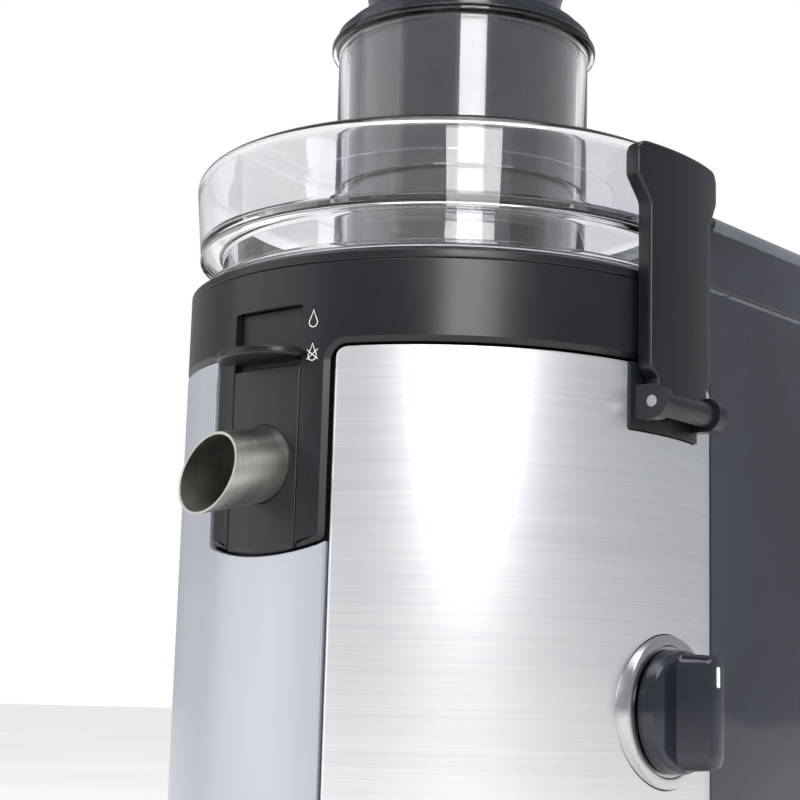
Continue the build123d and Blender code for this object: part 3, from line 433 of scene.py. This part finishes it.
def addPiece(name, mesh, material, body, nodes, sharp=30, wall=None):
    piece = bpy.data.objects.new(name, mesh)
    scene.collection.objects.link(piece)
    mesh.materials.clear()
    mesh.materials.append(material)
    shade(mesh, sharp, wall)
    if nodes:
        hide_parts(*nodes)
    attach(piece, body)
    return piece


def along(angle):
    return radians(angle) * bodyR


print("mesh tools ready")


# Collector: the black band round the bowl, with the tongue that carries the spout below it
band = {
    "tongueHalf": 15.65, "sag": 4.4, "cornerRound": 2.8, "insideRound": 6.0, "chamfer": 2.0, "fall": 0.62,
    "insertHalf": 9.25, "seam": 0.3, "windowTop": seamZ - 14.0, "windowLow": seamZ - 34.7, "wall": 2.4,
    "bowlOuter": 91.5, "bowlInner": 89.0, "floor": seamZ - 29.5, "hub": 28.0,
    "outletHalf": 12.0, "outletHigh": 8.0, "outletDeep": 8.0, "outletFrom": 94.0,
}


def tongueEdge(half, whole, low, edge, count=10):
    return [(x, low + band["sag"] * (x / whole) ** 2, 0, edge)
            for x in [half - 2 * half * k / count for k in range(count + 1)]]


def bandMesh():
    half, inset = along(band["tongueHalf"]), along(band["insertHalf"])
    end, corner = pi * bodyR, tongueLow + band["sag"]
    big, fine = band["chamfer"], band["seam"]
    bottomAt = tongueLow + band["sag"] * (inset / half) ** 2
    outline = [(end, seamZ, 0, fine), (-end, seamZ, 0, fine), (-end, bandLow, 0, big),
               (-half, bandLow, band["insideRound"], big), (-half, corner, band["cornerRound"], big),
               (-inset - 0.6, bottomAt + 0.2, 0, big), (-inset - 0.05, bottomAt, 0, fine),
               (-inset, bottomAt + 1, 0, fine), (-inset, band["windowTop"], 0.8, fine),
               (inset, band["windowTop"], 0.8, fine), (inset, bottomAt + 1, 0, fine),
               (inset + 0.05, bottomAt, 0, fine), (inset + 0.6, bottomAt + 0.2, 0, big),
               (half, corner, band["cornerRound"], big), (half, bandLow, band["insideRound"], big),
               (end, bandLow, 0, big)]
    skin = plate("collectorBand", [rounded(outline)], band["wall"], 1, band["fall"])
    skin = wrap(skin, bodyR, 180, closed=True)
    low, hub, outer, inner = band["floor"], band["hub"], band["bowlOuter"], band["bowlInner"]
    top = seamZ
    bowl = spin("bowl", [(outer, top - 0.3), (outer - 0.3, top), (inner + 0.5, top), (inner, top - 0.5),
                         (inner, low + 3), (inner - 0.9, low + 0.9), (inner - 3, low), (hub + 2, low),
                         (hub, low + 2), (hub, low + 7), (hub - 0.5, low + 7.5), (hub - 2, low + 7.5),
                         (hub - 2.5, low + 7), (hub - 2.5, low - 2.5), (outer, low - 2.5)], steps=120)
    shelf = spin("shelf", [(outer - 0.4, top - 2.4), (bodyR - 1.9, top - 2.4), (bodyR - 1.9, top - 0.2),
                           (outer - 0.4, top - 0.2)], steps=120)
    backer = stack("backer", [rounded([(-half + 2.5, corner + 2, 2), (half - 2.5, corner + 2, 2),
                                       (half - 2.5, bandLow + 4, 0), (-half + 2.5, bandLow + 4, 0)])],
                   [(0, -2.2), (0, -5.2)])
    hole = stack("hole", [[(-inset, band["windowLow"] - 25), (inset, band["windowLow"] - 25),
                           (inset, bandLow + 9), (-inset, bandLow + 9)]], [(0, 5), (0, -9)])
    backer = wrap(cutAway(backer, hole), bodyR, 180)
    gate = outletHole()
    return together("collector", skin, cutAway(bowl, gate), backer, shelf)


def outletHole():
    half, low, top = band["outletHalf"], band["floor"], band["floor"] + band["outletHigh"]
    cut = stack("outlet", [[(-half, low), (half, low), (half, top), (-half, top)]],
                [(0, 0), (0, band["outletDeep"])])
    return placed(cut, (0, 1, 0), (0, 0, 1), (1, 0, 0), (-band["outletFrom"], 0, 0))


addPiece("collector", bandMesh(), blackAbs, "housing", ["juice_collector", "collector_bowl"], wall=bodyR)


# Insert: the strip let into the tongue round the spout, with a hair seam at each side
spout = {
    "radius": 13.0, "wall": 0.8, "tilt": 13.5, "drop": 68.3, "reach": 25.1, "slant": 0.56, "inset": 8.0,
}
spoutZ = seamZ - spout["drop"]


def insertMesh():
    half, inset = along(band["tongueHalf"]), along(band["insertHalf"]) - 0.25
    low = tongueEdge(inset, half, tongueLow, band["chamfer"])
    top = band["windowLow"] - 0.25
    outline = [(-inset, top, 0.6, band["seam"])] + [(-x, y, r, e) for x, y, r, e in low] \
        + [(inset, top, 0.6, band["seam"])]
    outline[1] = (outline[1][0], outline[1][1], 0, band["seam"])
    outline[-2] = (outline[-2][0], outline[-2][1], 0, band["seam"])
    hole = circle(spout["radius"] + 0.15, 0, spoutZ, 0.35, 72, 1 / cos(radians(spout["tilt"])))
    return wrap(plate("spoutInsert", [rounded(outline), hole], 2.3, 1, band["fall"]), bodyR, 180)


addPiece("spoutInsert", insertMesh(), blackAbs, "housing", ["spout_cover"], wall=bodyR)


def spoutMesh():
    r, wall, tilt = spout["radius"], spout["wall"], radians(spout["tilt"])
    far = spout["reach"] + r
    near, bore = -spout["inset"], r - wall
    tube = spin("spout", [(r, near), (r, far), (bore, far), (bore, near)], steps=120)
    work = bmesh.new()
    work.from_mesh(tube)
    slope = Vector((-spout["slant"], 0, 1)).normalized()
    cut = bmesh.ops.bisect_plane(work, geom=work.verts[:] + work.edges[:] + work.faces[:],
                                 plane_co=(0, 0, spout["reach"] * mm), plane_no=slope, clear_outer=True)
    rim = [e for e in cut["geom_cut"] if isinstance(e, bmesh.types.BMEdge)]
    bmesh.ops.bridge_loops(work, edges=rim)
    mesh = freeze(work, "spout", 1e-8)
    axis = Vector((-cos(tilt), 0, -sin(tilt)))
    up = Vector((-sin(tilt), 0, cos(tilt)))
    turn = Matrix((-up, axis.cross(-up), axis)).transposed().to_4x4()
    turn.translation = Vector((-bodyR, 0, spoutZ)) * mm
    return moved(mesh, turn)


addPiece("spout", spoutMesh(), spoutSteel, "housing", ["spout_tube"])


# Finger tab of the drip stop: a half-oval shelf with a soft rim
tab = {"width": 36.0, "reach": 14.5, "thick": 3.0, "round": 0.9, "gap": 0.3, "stemHalf": 14.1,
       "stemLong": 7.0}
tabTop = nodeBox("slide_tab")[1].z


def tabMesh():
    oval = [(tab["width"] / 2 * cos(pi * k / 40), tab["reach"] * sin(pi * k / 40), tab["round"])
            for k in range(41)]
    half, long = tab["stemHalf"], tab["stemLong"]
    stem = [(-half, 0.0, 0.1), (-half, -long, 0.1), (half, -long, 0.1), (half, 0.0, 0.1)]
    turns = [pi / 2 * k / 5 for k in range(6)]
    top = [(1 - sin(a), cos(a) - 1) for a in turns]
    thick = tab["thick"]
    low = [(tab["round"] * (1 - cos(a)), -thick + tab["round"] * (1 - sin(a))) for a in turns]
    mesh = stack("tab", [oval + stem], top + low, scaled=6)
    return placed(mesh, (0, 1, 0), (-1, 0, 0), (0, 0, 1), (-bodyR - tab["gap"], 0, tabTop))


addPiece("fingerTab", tabMesh(), blackAbs, "drip_slide", ["slide_tab"])


# Icons on the band: an open drop above, and the same drop crossed out below
icons = {"angle": 11.9, "upper": seamZ - 19.3, "lower": seamZ - 30.9, "tall": 6.3, "wide": 3.5, "line": 0.26,
         "cross": 0.24, "crossLong": 5.6, "crossTurn": 38, "crossDrop": 0.9, "proud": 0.05, "deep": 0.12}


def dropOutline(x, y, shrink):
    r = icons["wide"] / 2 - shrink
    low, tip = y - icons["tall"] / 2 + icons["wide"] / 2, y + icons["tall"] / 2 - 1.7 * shrink
    arc = [radians(150 + 240 * k / 24) for k in range(25)]
    points = [(x + r * cos(a), low + r * sin(a), 0.02) for a in arc]
    points.append((x + 0.36 * r, low + 0.62 * (tip - low), 0.02))
    points.append((x, tip, 0.02))
    points.append((x - 0.36 * r, low + 0.62 * (tip - low), 0.02))
    return points


def bar(x, y, length, width, turn):
    a = radians(turn)
    ends = [(-1, -1), (1, -1), (1, 1), (-1, 1)]
    return [(x + u * length / 2 * cos(a) - v * width / 2 * sin(a),
             y + u * length / 2 * sin(a) + v * width / 2 * cos(a), 0.02) for u, v in ends]


def iconMesh():
    x, parts = along(icons["angle"]), []
    for y in (icons["upper"], icons["lower"]):
        outlines = [dropOutline(x, y, 0), dropOutline(x, y, icons["line"])]
        parts.append(plate("drop", outlines, icons["deep"], 1))
    for turn in (icons["crossTurn"], -icons["crossTurn"]):
        cross = bar(x, icons["lower"] - icons["crossDrop"], icons["crossLong"], icons["cross"], turn)
        parts.append(plate("cross", [cross], icons["deep"], 1))
    return together("icons", *[wrap(part, bodyR + icons["proud"], 180, 1.0) for part in parts])


addPiece("dripIcons", iconMesh(), iconInk, "housing", [], wall=bodyR + icons["proud"])
print("collector, insert, spout, tab and icons built")


# Front panel: a sheet bent round the body with its sides turned in, notched for the clamp's block
skins = {
    "half": 73.2, "returnDepth": 4.6, "foldRound": 1.4, "corner": 4.5, "sheet": 1.0, "edge": 0.3,
    "notchHalf": 21.8, "notchLow": 186.7, "dialZ": 92.0, "dialHole": 26.3, "shell": 2.5, "gap": 1.0,
    "inletZ": 44.0, "inletHole": 8.3,
}
panelLow, panelTop = nodeBox("front_panel")[0].z, nodeBox("front_panel")[1].z
shellTop = nodeBox("rear_panel")[1].z


def frontMesh():
    flat = along(skins["half"]) - skins["foldRound"]
    out, shoulder = flat + skins["returnDepth"] + 0.8, flat + skins["foldRound"] * 0.9
    notch, low = skins["notchHalf"], skins["notchLow"]
    outline = [(-out, panelLow), (out, panelLow), (out, panelTop - 9, 1),
               (shoulder, panelTop - 7.5, 1), (shoulder, panelTop, skins["corner"]),
               (notch, panelTop, 0.5), (notch, low, 1), (-notch, low, 1),
               (-notch, panelTop, 0.5), (-shoulder, panelTop, skins["corner"]),
               (-shoulder, panelTop - 7.5, 1), (-out, panelTop - 9, 1)]
    hole = circle(skins["dialHole"], 0, skins["dialZ"], skins["edge"], 96)
    mesh = plate("frontPanel", [rounded(outline, skins["edge"]), hole], skins["sheet"], 3)
    return wrap(mesh, bodyR, 270, fold=(flat, skins["foldRound"]))


def shellMesh():
    half = along(180 - skins["half"]) - skins["gap"]
    centre, width = along(90), along(band["tongueHalf"]) + skins["gap"]
    start, low = centre - width, tongueLow + band["sag"] - skins["gap"]
    notch = [(centre + x, y - skins["gap"]) for x, y, r, e in tongueEdge(width - 3.2, width, tongueLow, 0)]
    outline = [(-half, panelLow), (half, panelLow), (half, low + 0.4, 0.4)] + notch \
        + [(start, low, 2.5), (start, shellTop, 0.8), (skins["notchHalf"], shellTop, 0.5),
           (skins["notchHalf"], skins["notchLow"], 1), (-skins["notchHalf"], skins["notchLow"], 1),
           (-skins["notchHalf"], shellTop, 0.5), (-half, shellTop, 0.8)]
    hole = circle(skins["inletHole"], 0, skins["inletZ"], skins["edge"])
    return wrap(plate("rearShell", [rounded(outline, 0.5), hole], skins["shell"], 3), bodyR, 90)


addPiece("frontPanel", frontMesh(), brushedFront, "housing", ["front_panel"], wall=bodyR)
addPiece("rearShell", shellMesh(), lacquer, "housing", ["rear_panel"], wall=bodyR)

# Trim ring at the foot and collar ring on the band
rings = {"footRound": 3.0, "footInner": 94.3, "edge": 0.5, "collarStep": 2.9, "collarTaper": 4.0,
         "collarInner": 89.1}


def trimMesh():
    r, low, top, inner = bodyR, trimLow, trimTop, rings["footInner"]
    return spin("trimRing", rounded([(inner, low, 0.4), (r, low, rings["footRound"]), (r, top, 0.5),
                                     (inner, top, 0.4)]))


def collarMesh():
    step, edge, inner = collarLow + rings["collarStep"], rings["edge"], rings["collarInner"]
    outline = [(inner, collarLow, 0.3), (bodyR, collarLow, edge), (bodyR, step, edge),
               (bodyR - rings["collarTaper"], collarTop, 0.5), (inner, collarTop, 0.5)]
    return spin("collarRing", rounded(outline), steps=240)


addPiece("trimRing", trimMesh(), inkAbs, "housing", ["base_ring"])
addPiece("collarRing", collarMesh(), blackAbs, "housing", ["collar_ring"])
print("skins and rings built")


# Lid: a clear moulding with a rim, a neck, a wide drum and a domed top round the chute
lid = {
    "rim": 95.0, "rimHigh": 2.2, "neck": 89.0, "wall": 2.5, "drum": 99.8, "drumLow": 260.6, "drumTop": 286.0,
    "dome": 6.0, "lugHalf": 15.7, "lugLow": 270.0, "lugHigh": 10.0, "lugReach": 104.0, "chuteX": 5.0,
    "chute": 49.9, "bore": 47.0, "chuteLow": 228.2, "chuteTop": 352.0, "lip": 3.0,
    "windowHalf": 40.0, "windowFrom": 78.0, "windowTo": 120.0,
}


# The block that cuts the pulp's way out, through the lid's drum and the hood's near wall
def windowBlock(far, low, top):
    near, half = lid["windowFrom"], lid["windowHalf"]
    block = stack("window", [[(near, -half), (far, -half), (far, half), (near, half)]], [(0, low), (0, top)])
    return moved(block, toMetres)


def lidMesh():
    wall, drum, neck, base = lid["wall"], lid["drum"], lid["neck"], lidLow
    low, top, dome = lid["drumLow"], lid["drumTop"], lid["dome"]
    turns = [pi / 2 * k / 8 for k in range(9)]
    outer = [(drum - dome + dome * cos(a), top + dome * sin(a)) for a in turns]
    under = [(drum - dome + (dome - wall) * cos(a), top + (dome - wall) * sin(a)) for a in reversed(turns)]
    rim, rimTop, flat = lid["rim"], base + lid["rimHigh"], lid["chute"] + 14
    profile = rounded([(neck - wall, base, 0.4), (rim, base, 0.8), (rim, rimTop, 0.8),
                       (neck, rimTop, 0.8), (neck, low, 1.6), (drum, low, 1.6)])
    profile += outer + [(flat, top + dome), (flat, top + dome - wall)] + under
    profile += rounded([(drum - wall, top - 3), (drum - wall, low + wall, 1.5),
                        (neck - wall, low + wall, 1.5), (neck - wall, base + 4)])
    body = spin("lid", profile, steps=240)
    ring = stack("domeTop", [circle(flat + 0.05, count=240), circle(lid["chute"], lid["chuteX"], count=180)],
                 [(0, top + dome - wall), (0, top + dome)])
    half, lugLow, lugTop = lid["lugHalf"], lid["lugLow"], lid["lugLow"] + lid["lugHigh"]
    lug = rounded([(-half, lugLow, 1.2), (half, lugLow, 1.2), (half, lugTop, 1.2), (-half, lugTop, 1.2)], 0.6)
    lugs = [wrap(plate("lug", [lug], lid["lugReach"] - drum), lid["lugReach"], side) for side in (90, 270)]
    return together("lid", cutAway(body, windowBlock(lid["windowTo"], low + wall, top - wall)),
                    moved(ring, toMetres), *lugs)


def chuteMesh():
    r, bore, top, low = lid["chute"], lid["bore"], lid["chuteTop"], lid["chuteLow"]
    lip = r + lid["lip"]
    return spin("feedChute", rounded([(bore, low, 0.8), (r, low, 0.8), (r, top - lid["lip"], 1.2),
                                      (lip, top - lid["lip"], 0.8), (lip, top, 0.9), (bore, top, 0.9)]),
                (lid["chuteX"], 0))


addPiece("lid", lidMesh(), clearPc, "housing", ["lid", "lid_rim", "lid_neck"])
addPiece("feedChute", chuteMesh(), clearPc, "housing", ["feed_chute"])


# Pusher: a dark cup that fills the chute, with a waisted grip on top
pusher = {"radius": 45.8, "wall": 2.5, "low": 229.7, "flange": 50.9, "flangeTop": 356.0, "gripTop": 386.0,
          "grip": 42.0, "gripBase": 5.8, "gripWaist": 4.0}


def pusherMesh():
    r, wall, low, top = pusher["radius"], pusher["wall"], pusher["low"], pusher["flangeTop"]
    return spin("pusherCup", rounded([(0, low), (r, low, 3), (r, lid["chuteTop"], 0.4),
                                      (pusher["flange"], lid["chuteTop"], 0.8), (pusher["flange"], top, 0.8),
                                      (r - wall, top, 0.5), (r - wall, low + wall, 2), (0, low + wall)]),
                (lid["chuteX"], 0))


def gripMesh():
    low, top, r = pusher["flangeTop"], pusher["gripTop"], pusher["grip"]
    base, waist = r + pusher["gripBase"], r - pusher["gripWaist"]
    return spin("pusherGrip", rounded([(0, low), (base, low, 0.8), (base, low + 3, 1.2), (r - 1, low + 5, 4),
                                       (waist, low + 14, 16), (r, top - 4, 5), (r - 12, top - 0.8, 14),
                                       (0, top)]), (lid["chuteX"], 0))


addPiece("pusherCup", pusherMesh(), gripAbs, "pusher", ["pusher_shell"])
addPiece("pusherGrip", gripMesh(), gripAbs, "pusher", ["pusher_grip"], sharp=50)
print("lid, chute and pusher built")


# Pulp hood on the lid and the container under it
pulp = {"reach": 212.0, "half": 70.0, "corner": 30.0, "wall": 2.5, "top": 258.6, "gap": 3.0, "foot": 4.0,
        "hoodRound": 6.0, "windowTo": 118.0}


def pulpOutline(inner):
    half, reach = pulp["half"], pulp["reach"]
    start = sqrt(inner ** 2 - half ** 2)
    angle = Vector((start, half)).angle(Vector((1, 0)))
    turns = [angle - 2 * angle * k / 24 for k in range(25)]
    wallArc = [(inner * cos(a), inner * sin(a)) for a in turns]
    corners = rounded([(start, -half), (reach, -half, pulp["corner"]), (reach, half, pulp["corner"]),
                       (start, half)], steps=14)
    return [(x, y, 1.0) for x, y, e in corners[:-1]] + [(x, y, 1.0) for x, y in wallArc[:-1]]


def containerMesh():
    wall, top, foot = pulp["wall"], pulp["top"], pulp["foot"]
    levels = [(foot, 0), (foot * 0.4, foot * 0.13), (foot * 0.13, foot * 0.4), (0, foot),
              (0, top - 0.7), (0.2, top - 0.2), (0.7, top), (wall - 0.7, top), (wall - 0.2, top - 0.2),
              (wall, top - 0.7), (wall, foot + wall), (wall + 0.6, wall + 1.4), (wall + foot, wall)]
    return moved(stack("pulpContainer", [pulpOutline(bodyR + pulp["gap"])], levels), toMetres)


def hoodMesh():
    wall, low, top = pulp["wall"], lid["drumLow"], lid["drumTop"] + lid["dome"]
    edge = pulp["hoodRound"]
    levels = [(edge + wall, top - wall), (wall, top - wall - edge), (wall, low + 0.7), (wall - 0.7, low),
              (0.7, low), (0, low + 0.7), (0, top - edge), (0.5, top - 3.7), (1.8, top - 1.8),
              (3.7, top - 0.5), (edge, top)]
    shell = moved(stack("pulpHood", [pulpOutline(lid["drum"] + 0.05)], levels), toMetres)
    return cutAway(shell, windowBlock(pulp["windowTo"], low + wall, lid["drumTop"] - wall))


addPiece("pulpContainer", containerMesh(), smokePc, "bin", ["pulp_container"])
addPiece("pulpHood", hoodMesh(), smokePc, "housing", ["pulp_hood"])
print("hood and container built")


# Clamps: a curved lever with a hook over the lid's lug and a barrel on its pin, front and rear
clamp = {
    "pivotY": 106.2, "pivotZ": 196.0, "inner": 101.6, "thick": 6.0, "stem": 20.0, "head": 26.5,
    "barrel": 16.0, "barrelRadius": 4.4, "pinRadius": 2.1, "edge": 1.3, "shoulder": 266.6, "round": 5.0,
    "hookLow": 280.4, "hookHigh": 288.0, "hookInner": 100.3, "ribs": 4, "ribStep": 3.2, "ribHalf": 12.0,
}


def clampMesh(side):
    outer = clamp["inner"] + clamp["thick"]
    stem, head, barrel, pivot = clamp["stem"], clamp["head"], clamp["barrel"], clamp["pivotZ"]
    shoulder, top = clamp["shoulder"], clamp["hookHigh"]
    outline = rounded([(-barrel, pivot), (barrel, pivot), (barrel, pivot + 8.5, 2), (stem, pivot + 12, 2),
                       (stem, shoulder, 6), (head, shoulder + 9, 4), (head, top, clamp["round"]),
                       (-head, top, clamp["round"]), (-head, shoulder + 9, 4), (-stem, shoulder, 6),
                       (-stem, pivot + 12, 2), (-barrel, pivot + 8.5, 2)], clamp["edge"])
    lever = wrap(plate("clamp", [outline], clamp["thick"]), outer, side)
    hook = [(-head + 3, clamp["hookLow"], 1), (head - 3, clamp["hookLow"], 1), (head - 3, top - 1, 3),
            (-head + 3, top - 1, 3)]
    hooked = wrap(plate("hook", [rounded(hook, 0.3)], clamp["inner"] + 2 - clamp["hookInner"]),
                  clamp["inner"] + 2, side)
    ribs, half = [], clamp["ribHalf"]
    for k in range(clamp["ribs"]):
        low = top - 8.7 - clamp["ribStep"] * k
        high = low + 1.4
        rib = rounded([(-half, low, 0.6), (half, low, 0.6), (half, high, 0.6), (-half, high, 0.6)], 0.3)
        ribs.append(wrap(plate("rib", [rib], 0.9), outer - 0.1, side))
    pin, r = clamp["pinRadius"], clamp["barrelRadius"]
    ring = rounded([(pin, -barrel, 0.3), (r, -barrel, 0.5), (r, barrel, 0.5), (pin, barrel, 0.3)])
    drum = spin("barrel", ring, steps=64)
    centre = Vector((0, clamp["pivotY"] * (1 if side == 90 else -1), pivot)) * mm
    moved(drum, Matrix.Translation(centre) @ Matrix.Rotation(pi / 2, 4, "Y"))
    return together("clamp", lever, hooked, drum, *ribs)


addPiece("frontClamp", clampMesh(270), blackAbs, "front_latch", ["front_clamp"])
addPiece("rearClamp", clampMesh(90), blackAbs, "rear_latch", ["rear_clamp"])


# Dial: a turned bezel and a knob with a grip bar across it, facing the front
dial = {"z": 92.0, "bezel": 26.0, "bezelFront": 101.5, "knob": 21.0, "base": 101.8, "deep": 18.0,
        "skirt": 6.0, "bar": 6.0, "barLength": 19.6, "barRound": 5.9}


def onFront(mesh, out):
    return placed(mesh, (1, 0, 0), (0, 0, 1), (0, -1, 0), (0, -out, dial["z"]))


def bezelMesh():
    front, r = dial["bezelFront"], dial["bezel"]
    levels = [(0, -7), (0, -1.0), (0.3, -0.3), (1.0, 0), (3.4, 0), (4.0, -0.4), (4.4, -0.4)]
    return onFront(stack("bezel", [circle(r, count=120)], levels), front)


def knobMesh():
    base, skirt, r = dial["base"], dial["skirt"], dial["knob"]
    low = stack("knob", [circle(r, count=120)],
                [(0, 0), (0.2, skirt - 1.2), (0.6, skirt - 0.4), (1.4, skirt)])
    wide, tall, end = dial["bar"], dial["barLength"], dial["barRound"]
    barPath = rounded([(-wide, -tall, end), (wide, -tall, end), (wide, tall, end), (-wide, tall, end)],
                      steps=10)
    grip = stack("bar", [barPath], [(-0.8, skirt - 0.4), (0, skirt + 0.8), (0.6, dial["deep"] - 2),
                                    (1.2, dial["deep"] - 0.6), (2.6, dial["deep"])])
    return together("knob", onFront(low, base), onFront(grip, base))


addPiece("dialBezel", bezelMesh(), turnedAluminium, "housing", ["dial_bezel"])
addPiece("dialKnob", knobMesh(), gripAbs, "dial", ["dial_knob"])
print("clamps and dial built")


# Every CAD piece that stays as it is gets the material of what it is made of
finishes = {
    "black_plastic": inkAbs, "dark_plastic": gripAbs, "grey_shell": lacquer, "brushed_front": brushedFront,
    "spout_steel": spoutSteel, "sieve_steel": groundSteel, "zinc_steel": zincSteel,
    "bearing_steel": groundSteel, "lamination": laminations, "cast_metal": turnedAluminium,
    "copper_wire": copperWire, "brass_strip": brassStrip, "clear_plastic": clearPc, "smoke_plastic": smokePc,
    "white_plastic": whiteNylon, "silicone": siliconeClear, "rubber": blackRubber,
    "circuit_board": boardGreen, "bezel_metal": turnedAluminium,
}
ownFinish = {"sieve_cone": sieveSteel, "dial_pointer": iconInk, "clamp_ears": blackAbs}

for node, slot in slotOf.items():
    piece = bpy.data.objects.get(node)
    if piece and piece.type == "MESH":
        piece.data.materials.clear()
        piece.data.materials.append(ownFinish.get(node, finishes[slot]))
print("materials given to the CAD pieces")


# Studio: a pale floor under a white surround, with soft lights that only reflections see as shapes
studio = {
    "floor": 30.0, "surround": 1.0, "reflected": 0.44,
    "key": 5.2, "keySize": 0.44, "keyTurn": 8.5, "keyHigh": 0.55,
    "fill": 2.2, "fillSize": 0.9, "fillTurn": -80.0, "fillHigh": 0.45,
    "top": 6.0, "topSize": 0.8, "topTurn": 0, "topHigh": 1.3, "topReach": 0.25,
    "aim": 0.2,
}


def addFloor():
    half = studio["floor"] / 2
    mesh = bpy.data.meshes.new("floor")
    corners = [(-half, -half, 0), (half, -half, 0), (half, half, 0), (-half, half, 0)]
    mesh.from_pydata(corners, [], [(0, 1, 2, 3)])
    floor = bpy.data.objects.new("floor", mesh)
    scene.collection.objects.link(floor)
    # Painted studio floor: an even near-white with a trace of roller texture
    mesh.materials.append(surface("floorPaintRolled", "#f1f1f1", "#f5f5f5", 0.7, (2.5, 2.5, 2.5),
                                  (333, 333, 333)))
    return floor


# A soft box aimed at the upper body, its turn measured from the camera's side, anticlockwise from above
def addLight(name, power, size, turn, height, distance=1.1):
    a = radians(cameraRig["azimuth"] + turn)
    data = bpy.data.lights.new(name, "AREA")
    data.shape = "RECTANGLE"
    data.size, data.size_y = size, size
    data.energy = power
    light = bpy.data.objects.new(name, data)
    scene.collection.objects.link(light)
    place = Vector((sin(a) * distance, -cos(a) * distance, height))
    aim = Vector((0, 0, studio["aim"]))
    light.location = place
    light.rotation_euler = (aim - place).to_track_quat("-Z", "Y").to_euler()
    light.visible_camera = False
    return light


def addSurround():
    world = bpy.data.worlds.new("surround")
    scene.world = world
    world.use_nodes = True
    tree = world.node_tree
    tree.nodes.clear()
    rays = addNode(tree, "ShaderNodeLightPath")
    matt = addNode(tree, "ShaderNodeMath", {0: 1.0}, {1: rays.outputs["Is Glossy Ray"]}, operation="SUBTRACT")
    seen = addNode(tree, "ShaderNodeMath", {}, {0: matt.outputs[0], 1: rays.outputs["Is Transmission Ray"]},
                   operation="MAXIMUM")
    white = addNode(tree, "ShaderNodeBackground", {"Color": (1, 1, 1, 1), "Strength": studio["surround"]})
    grey = addNode(tree, "ShaderNodeBackground",
                   {"Color": (0.93, 0.96, 1, 1), "Strength": studio["reflected"]})
    mixed = addNode(tree, "ShaderNodeMixShader", {},
                    {0: seen.outputs[0], 1: grey.outputs[0], 2: white.outputs[0]})
    addNode(tree, "ShaderNodeOutputWorld", {}, {"Surface": mixed.outputs[0]})


floor = addFloor()
addLight("keyBox", studio["key"], studio["keySize"], studio["keyTurn"], studio["keyHigh"])
addLight("fillBox", studio["fill"], studio["fillSize"], studio["fillTurn"], studio["fillHigh"])
addLight("topBox", studio["top"], studio["topSize"], studio["topTurn"], studio["topHigh"],
                  studio["topReach"])
addSurround()
scene.view_settings.view_transform = "Standard"
print("studio ready")
